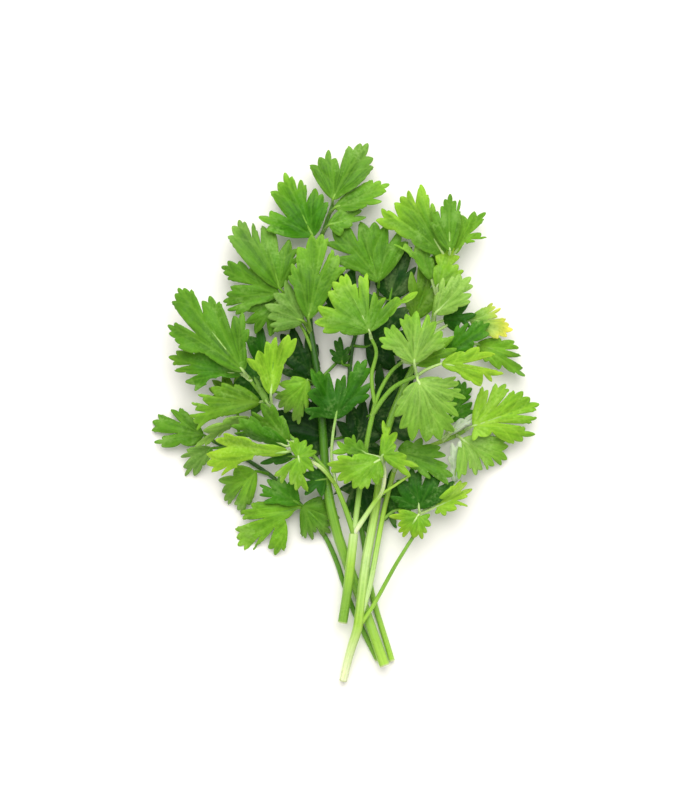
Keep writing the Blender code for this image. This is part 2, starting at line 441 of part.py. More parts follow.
def spaced(points, step):
    """Points at even steps along a smooth curve through plan points."""
    p = np.array(points, float)
    if len(p) == 2:
        count = max(2, int(np.linalg.norm(p[1] - p[0]) / step) + 1)
        return p[0] + (p[1] - p[0]) * np.linspace(0, 1, count)[:, None]
    ends = np.vstack([2 * p[0] - p[1], p, 2 * p[-1] - p[-2]])
    fine = []
    for i in range(len(p) - 1):
        a, b, c, d = ends[i : i + 4]
        for t in np.linspace(0, 1, CURVE_STEPS, endpoint=False):
            bend = (2 * a - 5 * b + 4 * c - d) * t**2 + (3 * b - a - 3 * c + d) * t**3
            fine.append(0.5 * (2 * b + (c - a) * t + bend))
    fine = np.array(fine + [p[-1]])
    along = np.concatenate([[0], np.cumsum(np.linalg.norm(np.diff(fine, axis=0), axis=1))])
    at = np.linspace(0, along[-1], max(2, int(along[-1] / step) + 1))
    return np.column_stack([np.interp(at, along, fine[:, k]) for k in (0, 1)])


def distance_to_line(points, line):
    """Each point's distance to a polyline, and the index of the segment end that is nearest."""
    best = np.full(len(points), np.inf)
    index = np.zeros(len(points), int)
    for i in range(len(line) - 1):
        a, b = line[i], line[i + 1]
        ab = b - a
        t = np.clip(((points - a) @ ab) / max(ab @ ab, 1e-9), 0, 1)
        d = np.linalg.norm(points - a - t[:, None] * ab, axis=1)
        nearer = d < best
        best[nearer] = d[nearer]
        index[nearer] = i + np.round(t[nearer]).astype(int)
    return best, index


def inside(points, outline):
    """Which points lie inside a closed outline."""
    hit = np.zeros(len(points), bool)
    for (x1, y1), (x2, y2) in zip(outline, np.roll(outline, -1, axis=0)):
        if y1 != y2:
            crosses = (points[:, 1] > min(y1, y2)) & (points[:, 1] <= max(y1, y2))
            hit ^= crosses & (points[:, 0] < x1 + (points[:, 1] - y1) * (x2 - x1) / (y2 - y1))
    return hit


class Heap:
    """The height of what lies on the surface so far, on a square grid."""

    def __init__(self):
        self.x = np.arange(HEAP_X[0], HEAP_X[1] + CELL, CELL)
        self.y = np.arange(HEAP_Y[0], HEAP_Y[1] + CELL, CELL)
        grid = np.meshgrid(self.x, self.y, indexing="ij")
        self.cells = np.column_stack([grid[0].ravel(), grid[1].ravel()])
        self.shape = grid[0].shape
        self.floor = -(CLEARANCE + FLOOR_SINK)
        self.others = np.full(self.shape, self.floor)
        self.own_blades = self.others.copy()
        self.own_stems = self.others.copy()

    def near(self, line, reach):
        """The cells within reach of a polyline, as a mask."""
        low, high = line.min(axis=0) - reach, line.max(axis=0) + reach
        box = np.all((self.cells > low) & (self.cells < high), axis=1)
        mask = np.zeros(len(self.cells), bool)
        mask[box] = distance_to_line(self.cells[box], line)[0] < reach
        return mask.reshape(self.shape)

    def cover(self, with_stems, route, n):
        """A smooth surface that nothing below sticks out of, rounded over n cells. A stalk's own pieces
        don't count near route."""
        own = np.maximum(self.own_blades, self.own_stems) if with_stems else self.own_blades
        top = np.maximum(self.others, np.where(self.near(route, OWN_REACH), self.floor, own))
        disc = [(i, j) for i in range(-n, n + 1) for j in range(-n, n + 1) if i * i + j * j <= n * n]
        high = np.max([np.roll(top, step, axis=(0, 1)) for step in disc], axis=0)
        weights = np.array([1.0 - (i * i + j * j) / (n + 1.0) ** 2 for i, j in disc])
        moved = [np.roll(high, step, axis=(0, 1)) for step in disc]
        return np.tensordot(weights / weights.sum(), moved, axes=1)

    def sample(self, surface, points):
        """The surface's height at any points, by cubic B-splines, so that it has no creases."""
        u = (points[:, 0] - self.x[0]) / CELL
        v = (points[:, 1] - self.y[0]) / CELL
        i, j = np.floor(u).astype(int), np.floor(v).astype(int)
        weights = [spline_weights(u - i), spline_weights(v - j)]
        total = np.zeros(len(points))
        for a in range(4):
            for b in range(4):
                total += weights[0][a] * weights[1][b] * surface[i + a - 1, j + b - 1]
        return total

    def add_blade(self, outline, height):
        """Adds a blade's top to the stalk's own pieces."""
        ring = np.vstack([outline, outline[:1]])
        near = self.near(ring, RIM).ravel() | inside(self.cells, outline)
        flat = self.own_blades.ravel()
        flat[near] = np.maximum(flat[near], height(self.cells[near]) + BLADE_THICKNESS / 2)

    def add_stem(self, line, heights, radius):
        """Adds a stem's top to the stalk's own pieces."""
        near = self.near(line, radius.max() + RIM).ravel()
        index = distance_to_line(self.cells[near], line)[1]
        flat = self.own_stems.ravel()
        flat[near] = np.maximum(flat[near], heights[index] + radius[index])

    def finish_stalk(self):
        """What was the stalk's own now lies below the next stalk."""
        self.others = np.maximum(self.others, np.maximum(self.own_blades, self.own_stems))
        self.own_blades = np.full(self.shape, self.floor)
        self.own_stems = self.own_blades.copy()


def spline_weights(t):
    """The four weights of a uniform cubic B-spline."""
    return ((1 - t) ** 3 / 6, (3 * t**3 - 6 * t**2 + 4) / 6, (-3 * t**3 + 3 * t**2 + 3 * t + 1) / 6, t**3 / 6)


def stiffen(heights, reach, step):
    """Keeps a path above heights while it bends no faster than a stem does."""
    n = max(1, int(reach / step))
    padded = np.pad(heights, n, mode="edge")
    high = np.array([padded[i : i + 2 * n + 1].max() for i in range(len(heights))])
    padded = np.pad(high, n, mode="edge")
    return np.array([padded[i : i + 2 * n + 1].mean() for i in range(len(heights))])


def lay_stem(heap, item, stems):
    """A stem's line, heights and radii: it starts in the stem that it grows from and stays above the heap."""
    joint, start = find_joint(item.points[0], stems)
    line = spaced([joint] + item.points[1:], STEM_STEP)
    radius = np.interp(np.linspace(0, 1, len(line)), np.linspace(0, 1, len(item.radii)), item.radii)
    below = heap.sample(heap.cover(False, line[:2], STEM_CELLS), line)
    rest = stiffen(below, item.stiff, STEM_STEP) + radius + CLEARANCE
    free = (radius[0] if start is None else start) + LIFT * item.rise * np.linspace(0, 1, len(line))
    heights = np.maximum(smooth_max(free, rest, STEM_EASE), radius)
    if start is not None:
        heights[0] = start
    return line, heights, radius


def find_joint(point, stems):
    """The point on the nearest stem's axis, and its height there. The first stem keeps its own end."""
    if not stems:
        return tuple(point), None
    lines = np.vstack([line for line, _, _ in stems])
    heights = np.concatenate([heights for _, heights, _ in stems])
    nearest = np.argmin(np.linalg.norm(lines - np.array(point), axis=1))
    return tuple(lines[nearest]), heights[nearest]


def leaf_frame(item):
    """A leaflet's base, its unit directions along and across, and its length."""
    tips = np.array([tip for lobe in item.lobes for tip in lobe], float)
    base = np.array(item.route[-1], float)
    along = tips.mean(axis=0) - base
    along /= np.linalg.norm(along)
    length = np.max((tips - base) @ along)
    return base, along, np.array([-along[1], along[0]]), length


def lay_leaf(heap, item, stems, number):
    """A leaflet's petiole line with its heights, and its blade's height as a function of plan points."""
    base, along, across, length = leaf_frame(item)
    joint, start = find_joint(item.route[0], stems)
    route = spaced([joint] + item.route[1:], STEM_STEP)
    below = heap.sample(heap.cover(False, route, STEM_CELLS), route)
    rest = stiffen(below, WEAVE, STEM_STEP) + item.radius + CLEARANCE
    free = start + LIFT * item.rise * np.linspace(0, 1, len(route))
    heights = np.maximum(smooth_max(free, rest, STEM_EASE), item.radius)
    heights[0] = start
    cover = heap.cover(True, route, BLADE_CELLS)
    foot = heights[-1]
    lowest = BLADE_THICKNESS / 2 + REST_STEP * ((number - 1) % REST_STEPS)
    sway = SWAY * math.sin(SWAY_TURN @ base)

    def height(points):
        offset = points - base
        u, v = offset @ along / length, offset @ across / length
        spread = np.hypot(u, v)
        turn = np.arctan2(v, u)
        free_form = (
            foot
            + length * item.fold * (np.sqrt(v**2 + FOLD_ROUND) - math.sqrt(FOLD_ROUND))
            + length * (item.roll + sway) * v
            + length * PITCH * u
            - length * DROOP * item.droop * np.maximum(spread - DROOP_START, 0) ** 2
            + length * item.wave * np.sin(WAVE_TURN * turn + base[0]) * spread**2
        )
        low = heap.sample(cover, points) + BLADE_THICKNESS / 2 + CLEARANCE
        return np.maximum(smooth_max(free_form, low, BLADE_EASE), lowest)

    return route, heights, height


def leaf_outline(item):
    """A leaflet's cut edge: teeth with notches between them, from one side of its base to the other."""
    base, along, across, _ = leaf_frame(item)
    lobes = [[np.array(tip, float) for tip in lobe] for lobe in item.lobes]
    edge = []
    for n, lobe in enumerate(lobes):
        heart = base + LOBE_HEART * (np.mean(lobe, axis=0) - base)
        for tip, after in zip(lobe, lobe[1:]):
            middle = (tip + after) / 2
            inward = heart - middle
            reach = np.linalg.norm(inward)
            apart = np.linalg.norm(after - tip)
            depth = min(TOOTH_DEPTH * apart, TOOTH_DEPTH_MOST, TOOTH_DEPTH_SHARE * reach)
            edge += [tip, middle + inward / reach * depth]
        edge.append(lobe[-1])
        if n + 1 < len(lobes):
            between = (lobe[-1] + lobes[n + 1][0]) / 2
            shallow = base + NOTCH_SHARE * (between - base)
            edge.append(np.array(item.cuts[n]) if n < len(item.cuts) else shallow)
    side = 1.0 if (edge[0] - base) @ across > 0 else -1.0
    start, end = (base + side * sign * BASE_HALF_WIDTH * across for sign in (1, -1))
    outline = [start] + edge + [end]
    divided = []
    for a, b in zip(outline, outline[1:]):
        divided.append(a)
        pieces = int(np.linalg.norm(b - a) / EDGE_LENGTH)
        divided += [a + (b - a) * k / (pieces + 1) for k in range(1, pieces + 1)]
    divided.append(end)
    outline = np.array(divided)
    x, y = outline.T
    area = 0.5 * np.sum(x * np.roll(y, -1) - y * np.roll(x, -1))
    return outline if area > 0 else outline[::-1]


def inner_points(outline):
    """Evenly spaced plan points inside an outline, clear of its edge."""
    low, high = outline.min(axis=0), outline.max(axis=0)
    rows = np.arange(low[1] + GRID_MARGIN, high[1], GRID_SPACING * math.sqrt(3) / 2)
    points = [
        (x + (n % 2) * GRID_SPACING / 2, y)
        for n, y in enumerate(rows)
        for x in np.arange(low[0] + GRID_MARGIN, high[0], GRID_SPACING)
    ]
    points = np.array(points)
    ring = np.vstack([outline, outline[:1]])
    keep = inside(points, outline) & (distance_to_line(points, ring)[0] > EDGE_CLEAR)
    return points[keep]


def blade_object(name, item, height):
    """A blade: its outline filled with triangles, raised to its height and given its thickness."""
    outline = leaf_outline(item)
    plan = np.vstack([outline, inner_points(outline)])
    face = list(range(len(outline)))
    points, _, faces, _, _, _ = delaunay_2d_cdt([Vector(p) for p in plan], [], [face], 1, 1e-6)
    flat = np.array([tuple(p) for p in points])
    heights = height(flat)
    mesh = bpy.data.meshes.new(name)
    mesh.from_pydata([(x * MM, y * MM, z * MM) for (x, y), z in zip(flat, heights)], [], faces)
    blade = bpy.data.objects.new(name, mesh)
    bpy.context.scene.collection.objects.link(blade)
    thick = blade.modifiers.new("thickness", "SOLIDIFY")
    thick.thickness = BLADE_THICKNESS * MM
    thick.offset = 0.0
    return as_mesh(blade)


def tube_object(name, line, heights, radius, sides):
    """A round stem along a line, with closed ends."""
    curve = bpy.data.curves.new(name, "CURVE")
    curve.dimensions = "3D"
    curve.bevel_depth = MM
    curve.bevel_resolution = sides
    curve.use_fill_caps = True
    curve.twist_mode = "Z_UP"
    spline = curve.splines.new("POLY")
    spline.points.add(len(line) - 1)
    for point, (x, y), z, r in zip(spline.points, line, heights, radius):
        point.co = (x * MM, y * MM, z * MM, 1)
        point.radius = r
    tube = bpy.data.objects.new(name, curve)
    bpy.context.scene.collection.objects.link(tube)
    return as_mesh(tube)


def as_mesh(source):
    """The object as a plain closed mesh object, in place of the one it was made from."""
    evaluated = source.evaluated_get(bpy.context.evaluated_depsgraph_get())
    mesh = bpy.data.meshes.new_from_object(evaluated)
    work = bmesh.new()
    work.from_mesh(mesh)
    bmesh.ops.remove_doubles(work, verts=work.verts, dist=WELD)
    bmesh.ops.recalc_face_normals(work, faces=work.faces)
    bmesh.ops.triangulate(work, faces=work.faces)
    work.to_mesh(mesh)
    work.free()
    solid = bpy.data.objects.new(source.name, mesh)
    solid.matrix_world = source.matrix_world
    name = source.name
    bpy.data.objects.remove(source)
    solid.name = name
    bpy.context.scene.collection.objects.link(solid)
    return solid


def thinned(line, heights, radius, spacing):
    """A stem's points at wider steps, with both ends kept."""
    count = max(2, int(round((len(line) - 1) * STEM_STEP / spacing)) + 1)
    pick = np.unique(np.round(np.linspace(0, len(line) - 1, count)).astype(int))
    return line[pick], heights[pick], radius[pick]


def rooted(line, heights, radius):
    """A side stem's points with one more before them, so that it starts well inside its own stem."""
    back = line[0] - line[1]
    before = line[0] + back / np.linalg.norm(back) * radius[0]
    return np.vstack([before, line]), np.append(heights[0], heights), np.append(radius[0], radius)


def leaf_solids(name, item, route, heights, height, number):
    """A leaflet's blade, and its petiole that runs on into the blade as the midrib."""
    base, along, _, length = leaf_frame(item)
    rib = base + along * np.array([[RIB_START], [RIB_REACH]]) * length
    line, tops, _ = thinned(route, heights, heights, PETIOLE_SPACING)
    line = np.vstack([line, rib])
    tops = np.concatenate([tops, height(rib) - RIB_DROP])
    tops[-3] = height(base[None, :])[0] - RIB_DROP
    root_radius = item.radius * (ROOT_SWELL + ROOT_STEP * (number % REST_STEPS))
    radius = np.linspace(root_radius, RIB_END_RADIUS, len(line))
    tops = np.maximum(tops, radius)
    blade = blade_object(name, item, height)
    arrival = line[-3] - line[-4]
    if arrival @ along > SHARP_TURN * np.linalg.norm(arrival):
        return [tube_object(name + "_rib", *rooted(line, tops, radius), 0), blade]
    petiole = tube_object(name + "_petiole", *rooted(line[:-2], tops[:-2], radius[:-2]), 0)
    return [petiole, tube_object(name + "_rib", *rooted(line[-3:], tops[-3:], radius[-3:]), 0), blade]


def fuse(name, solids, parts):
    """Joins overlapping solids in one, by one union."""
    body = solids[0]
    others = bpy.data.collections.new(name + "_pieces")
    bpy.context.scene.collection.children.link(others)
    for solid in solids[1:]:
        bpy.context.scene.collection.objects.unlink(solid)
        others.objects.link(solid)
    union = body.modifiers.new("union", "BOOLEAN")
    union.operation = "UNION"
    union.solver = "EXACT"
    union.operand_type = "COLLECTION"
    union.collection = others
    mesh = bpy.data.meshes.new_from_object(body.evaluated_get(bpy.context.evaluated_depsgraph_get()))
    for solid in solids:
        bpy.data.objects.remove(solid)
    bpy.data.collections.remove(others)
    fused = bpy.data.objects.new(name, mesh)
    parts.objects.link(fused)
    return fused


def green(name, color):
    """A stalk's material: a slightly glossy green."""
    material = bpy.data.materials.new(name + "_green")
    material.use_nodes = True
    shader = material.node_tree.nodes["Principled BSDF"]
    shader.inputs["Base Color"].default_value = (*color, 1)
    shader.inputs["Roughness"].default_value = 0.45
    shader.inputs["Metallic"].default_value = 0.0
    return material


def make_stalk(name, items, color, heap, parts):
    """Lays one stalk's pieces on the heap and joins them in one solid."""
    stems, solids = [], []
    for number, item in enumerate(items):
        label = f"{name}_{number}"
        if isinstance(item, Stem):
            line, heights, radius = lay_stem(heap, item, stems)
            heap.add_stem(line, heights, radius)
            tube = thinned(line, heights, radius, STEM_SPACING)
            solids.append(tube_object(label, *(rooted(*tube) if stems else tube), item.sides))
            stems.append((line, heights, radius))
        else:
            route, heights, height = lay_leaf(heap, item, stems, number)
            heap.add_blade(leaf_outline(item), height)
            heap.add_stem(route, heights, np.full(len(route), item.radius))
            solids += leaf_solids(label, item, route, heights, height, number)
    heap.finish_stalk()
    fused = fuse(name, solids, parts)
    fused.data.materials.clear()
    fused.data.materials.append(green(name, color))
    return fused


def build():
    """Builds the bunch from its lowest stalk up."""
    for old in list(bpy.data.objects):
        bpy.data.objects.remove(old)
    parts = bpy.data.collections.new("cilantro_bunch")
    bpy.context.scene.collection.children.link(parts)
    heap = Heap()
    for name, items, color in STALKS:
        make_stalk(name, items(), color, heap, parts)


build()
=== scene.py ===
"""The looks of a cut bunch of flat-leaved green herb, lying on its side on a level surface.

Five leafy stalks lie over each other. Each is dressed in two pieces, its leaflets and its stems, which
take the place of the stalk's plain solid. The stalks are laid one after the other from the lowest up, by
the same rule and the same plan points as the solids, so that every leaflet lies where its solid does.

Plan positions and sizes are in millimetres, +X to the right and +Y from the cut ends to the leaf tips.
"""

import logging
import math
from collections.abc import Callable
from dataclasses import dataclass, field
from enum import Enum
from typing import Any

import bpy
import numpy as np
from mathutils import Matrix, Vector
from mathutils.geometry import delaunay_2d_cdt
from mathutils.kdtree import KDTree


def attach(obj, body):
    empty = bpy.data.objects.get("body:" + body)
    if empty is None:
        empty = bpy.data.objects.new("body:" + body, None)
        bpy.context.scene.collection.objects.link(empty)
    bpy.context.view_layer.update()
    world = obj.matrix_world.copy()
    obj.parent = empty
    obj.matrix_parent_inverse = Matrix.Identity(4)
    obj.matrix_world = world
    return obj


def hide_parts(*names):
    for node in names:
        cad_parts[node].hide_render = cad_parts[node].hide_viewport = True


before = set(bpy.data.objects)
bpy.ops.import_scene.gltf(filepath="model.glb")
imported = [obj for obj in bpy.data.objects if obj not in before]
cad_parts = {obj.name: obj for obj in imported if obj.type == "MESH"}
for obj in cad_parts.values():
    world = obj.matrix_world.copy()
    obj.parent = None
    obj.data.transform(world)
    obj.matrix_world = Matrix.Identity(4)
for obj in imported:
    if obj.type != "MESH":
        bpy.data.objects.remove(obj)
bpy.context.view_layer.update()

log = logging.getLogger("herb_bunch")

MM = 0.001
BODY = "root"

# The solids' own sizes, which settle how the heap lies
SOLID_THICKNESS = 0.7
CLEARANCE = 0.8
FLOOR_SINK = 0.3
BASE_HALF_WIDTH = 0.9
PETIOLE_RADIUS = 0.7
PETIOLE_SPACING = 6.0
STEM_SPACING = 7.0
REST_STEP = 0.06
REST_STEPS = 5
RIB_DROP = 0.45
SHARP_TURN = 0.35
TOOTH_DEPTH = 0.42
TOOTH_DEPTH_MOST = 3.2
TOOTH_DEPTH_SHARE = 0.4
LOBE_HEART = 0.5
NOTCH_SHARE = 0.72

# The heap of what lies below, as heights on a square grid
CELL = 1.0
HEAP_X = (-90.0, 90.0)
HEAP_Y = (-122.0, 122.0)
BLADE_CELLS = 6
STEM_CELLS = 1
RIM = 0.8
BLADE_EASE = 1.6
STEM_EASE = 0.8
OWN_REACH = 7.0
STEM_STEP = 2.0
WEAVE = 3.0
LIFT = 2.4

# How a blade arches, as shares of its length
FOLD_ROUND = 0.004
DROOP = 1.6
DROOP_START = 0.15
PITCH = 0.2
SWAY = 0.16
SWAY_TURN = np.array([1.7, 0.9])
WAVE_TURN = 3.1
CURVE_STEPS = 20

# How many points are compared with a line at once
BATCH = 1000

# The fine blade: its thickness, the spacing of its points and the relief of its face
BLADE_THIN = 0.16
BLADE_THICK = 0.36
THIN_RIM = 1.1
POINT_SPACING = 0.6
EDGE_SPACING = 0.42
VEIN_SPACING = 0.5
GROOVE = 0.12
QUILT = 0.2
QUILT_REACH = 1.8
PLEAT = 0.34
EDGE_CURL = 0.22
CURL_REACH = 0.9
EDGE_GLOW = 0.7
TIP_GLOW = 2.6
CALM_RIM = 1.5
LOWEST = 0.02
SLOPE_STEP = 0.2

# How near a blade's points may stand to its edge, to its vein lines, and two vein lines to each other
FILLING_FROM_EDGE = 0.6 * POINT_SPACING
FILLING_FROM_VEIN = 0.62 * POINT_SPACING
VEIN_FROM_VEIN = 0.45 * VEIN_SPACING

# How far each kind of corner pulls the edge, as shares of the stretch between two corners
TIP_PULL = 0.3
BASE_PULL = 0.4
NOTCH_PULL = 0.36

# The veins' half widths at both ends and how strongly they show
MAIN_VEIN = (0.40, 0.14, 1.0)
TOOTH_VEIN = (0.24, 0.12, 0.85)
SIDE_VEIN = (0.13, 0.09, 0.5)
VEIN_FADE = 0.35
VEIN_CLEAR = 0.22
SIDE_VEIN_GAP = 2.1
SIDE_VEIN_LENGTH = 3.6
SIDE_VEIN_SHORTER = 1.2

# Gentle waves of a blade as lengths and heights, and its folds as how often they turn and their shares
WAVES = ((13.0, 0.22), (9.0, 0.16), (5.5, 0.09), (3.1, 0.05))
FOLDS = ((6.0, 0.5), (11.0, 0.35), (19.0, 0.2))
FOLDS_SEED = 7
FOLDED_LENGTH = 16.0
MOST_FOLDED = 1.4

# A tube's place along its run where the pale cut colour no longer shows, and its least radius
PAST_CUT = 10.0
THINNEST_TUBE = 0.1


class Tone(Enum):
    """The green of a leaflet or a stem, as linear red, green and blue."""

    # Painted shade: this near-black green stands for leaflets lying in deep shade low in the heap.
    DEEP = (0.004, 0.050, 0.001)
    # A darker green, made darker still as painted shade on the leaflets that lie in the shaded middle and
    # underneath.
    DARK = (0.018, 0.125, 0.002)
    MOSS = (0.046, 0.215, 0.003)
    LEAF = (0.088, 0.268, 0.011)
    OLIVE = (0.100, 0.262, 0.010)
    FRESH = (0.155, 0.405, 0.016)
    BRIGHT = (0.225, 0.500, 0.022)
    GOLDEN = (0.275, 0.540, 0.020)
    YELLOW = (0.600, 0.660, 0.060)
    GREY = (0.140, 0.325, 0.040)
    PALER = (0.200, 0.425, 0.052)
    # Whitish green for curled strips that show a pale underside, made paler still as a painted highlight.
    WHITE = (0.500, 0.680, 0.400)
    STEM_SHADE = (0.030, 0.120, 0.006)
    STEM_DARK = (0.095, 0.270, 0.012)
    STEM_GREEN = (0.190, 0.400, 0.036)
    STEM_LIME = (0.310, 0.560, 0.050)
    # Pale and cream: the stems' own paler colour near cut ends and forks, made paler still as a painted
    # highlight where the stems shine.
    STEM_PALE = (0.440, 0.650, 0.200)
    STEM_CREAM = (0.760, 0.840, 0.460)


@dataclass(frozen=True)
class StemPlan:
    """A stem: plan points that it runs through, its radii at even steps, how much it rises and how stiff
    it is, and its colours at even steps."""

    points: list
    radii: tuple
    rise: float = 0.0
    stiff: float = 6.0
    tones: tuple = (Tone.STEM_GREEN,)


@dataclass(frozen=True)
class LeafletPlan:
    """A leaflet: the route of its petiole from joint to base, the tips of its teeth lobe by lobe, the deep
    notches between lobes, how it arches, its colours at the middle and at the tips, and how far its
    long margins swell out beside the base."""

    route: list
    lobes: list
    cuts: tuple | list = ()
    rise: float = 2.0
    fold: float = 0.10
    droop: float = 0.35
    roll: float = 0.0
    wave: float = 0.04
    radius: float = PETIOLE_RADIUS
    tone: Tone = Tone.LEAF
    tip: Tone = Tone.LEAF
    swell: float = 0.4


def stem(tones: str, points: list, radii: tuple, **form: float) -> StemPlan:
    """A stem's plan, with its colours by name from its lower end to its upper one."""
    return StemPlan(points, radii, tones=tuple(Tone["STEM_" + name] for name in tones.split()), **form)


def leaf(tones: str, route: list, lobes: list, cuts: list | tuple = (), **form: float) -> LeafletPlan:
    """A leaflet's plan, with its colours by name: one alone, or those of its middle and of its tips."""
    shades = [Tone[name] for name in tones.split()]
    return LeafletPlan(route, lobes, cuts, tone=shades[0], tip=shades[-1], **form)


def smooth_max(a: np.ndarray, b: np.ndarray, ease: float) -> np.ndarray:
    """The larger of two heights, rounded over where they meet, and never under either."""
    return 0.5 * (a + b + np.sqrt((a - b) ** 2 + ease**2))


def smooth_step(value: np.ndarray) -> np.ndarray:
    """Values from 0 to 1 with soft ends."""
    share = np.clip(value, 0, 1)
    return share * share * (3 - 2 * share)


def unit(vector: np.ndarray) -> np.ndarray:
    """The vector at a length of one."""
    return vector / max(float(np.linalg.norm(vector)), 1e-9)


def spaced(points: np.ndarray | list, step: float) -> np.ndarray:
    """Points at even steps along a smooth curve.

    Args:
        points: the points that the curve runs through, in a plane or in space.
        step: the distance between two points of the result.

    Returns:
        One row for each point.
    """
    p = np.array(points, float)
    if len(p) == 2:
        count = max(2, int(np.linalg.norm(p[1] - p[0]) / step) + 1)
        return p[0] + (p[1] - p[0]) * np.linspace(0, 1, count)[:, None]
    ends = np.vstack([2 * p[0] - p[1], p, 2 * p[-1] - p[-2]])
    fine = []
    for i in range(len(p) - 1):
        a, b, c, d = ends[i : i + 4]
        for t in np.linspace(0, 1, CURVE_STEPS, endpoint=False):
            cubic = (3 * b - a - 3 * c + d) * t**3
            fine.append(0.5 * (2 * b + (c - a) * t + (2 * a - 5 * b + 4 * c - d) * t**2 + cubic))
    fine = np.array(fine + [p[-1]])
    along = np.concatenate([[0], np.cumsum(np.linalg.norm(np.diff(fine, axis=0), axis=1))])
    at = np.linspace(0, along[-1], max(2, int(along[-1] / step) + 1))
    return np.column_stack([np.interp(at, along, fine[:, k]) for k in range(p.shape[1])])


def curved(a: np.ndarray, b: np.ndarray, c: np.ndarray, d: np.ndarray, step: float) -> np.ndarray:
    """Points along a curve from a to d that b and c pull on, without d itself."""
    count = max(3, int(np.linalg.norm(d - a) / step) + 1)
    t = np.linspace(0, 1, count, endpoint=False)[:, None]
    return (1 - t) ** 3 * a + 3 * (1 - t) ** 2 * t * b + 3 * (1 - t) * t**2 * c + t**3 * d


def bent(start: np.ndarray, middle: np.ndarray, end: np.ndarray, step: float) -> np.ndarray:
    """Points along one bent stretch, which sets out towards its middle point.

    Args:
        start: where it begins.
        middle: the point that pulls it.
        end: where it ends.
        step: the distance between two points.

    Returns:
        One row for each point, both ends among them.
    """
    count = max(3, int(np.linalg.norm(end - start) / step) + 1)
    t = np.linspace(0, 1, count)[:, None]
    return (1 - t) ** 2 * start + 2 * t * (1 - t) * middle + t**2 * end


def distance_to_line(points: np.ndarray, line: np.ndarray) -> tuple[np.ndarray, np.ndarray]:
    """Each point's distance to a polyline, and the index of the segment end that is nearest."""
    starts, runs = line[:-1], np.diff(line, axis=0)
    squares = np.maximum(np.sum(runs**2, axis=1), 1e-9)
    best = np.zeros(len(points))
    index = np.zeros(len(points), int)
    for first in range(0, len(points), BATCH):
        x = points[first : first + BATCH, :1] - starts[:, 0]
        y = points[first : first + BATCH, 1:] - starts[:, 1]
        t = np.clip((x * runs[:, 0] + y * runs[:, 1]) / squares, 0, 1)
        gaps = np.hypot(x - t * runs[:, 0], y - t * runs[:, 1])
        nearest = np.argmin(gaps, axis=1)
        rows = np.arange(len(nearest))
        best[first : first + BATCH] = gaps[rows, nearest]
        index[first : first + BATCH] = nearest + np.round(t[rows, nearest]).astype(int)
    return best, index


def inside(points: np.ndarray, outline: np.ndarray) -> np.ndarray:
    """Which points lie inside a closed outline."""
    (x1, y1), (x2, y2) = outline.T, np.roll(outline, -1, axis=0).T
    slant = (x2 - x1) / np.where(y1 == y2, 1.0, y2 - y1)
    hit = np.zeros(len(points), bool)
    for first in range(0, len(points), BATCH):
        x, y = points[first : first + BATCH, :1], points[first : first + BATCH, 1:]
        crosses = (y > np.minimum(y1, y2)) & (y <= np.maximum(y1, y2)) & (x < x1 + (y - y1) * slant)
        hit[first : first + BATCH] = np.sum(crosses, axis=1) % 2 == 1
    return hit


def turned_left(outline: np.ndarray) -> np.ndarray:
    """The closed outline, run so that its inside is on the left."""
    after = np.roll(outline, -1, axis=0)
    area = np.sum(outline[:, 0] * after[:, 1] - outline[:, 1] * after[:, 0])
    return outline if area > 0 else outline[::-1]


def spline_weights(t: np.ndarray) -> tuple:
    """The four weights of a uniform cubic B-spline."""
    inner = ((3 * t**3 - 6 * t**2 + 4) / 6, (-3 * t**3 + 3 * t**2 + 3 * t + 1) / 6)
    return ((1 - t) ** 3 / 6, *inner, t**3 / 6)


def stiffen(heights: np.ndarray, reach: float, step: float) -> np.ndarray:
    """Keeps a path above heights while it bends no faster than a stem does."""
    n = max(1, int(reach / step))
    padded = np.pad(heights, n, mode="edge")
    high = np.array([padded[i : i + 2 * n + 1].max() for i in range(len(heights))])
    padded = np.pad(high, n, mode="edge")
    return np.array([padded[i : i + 2 * n + 1].mean() for i in range(len(heights))])


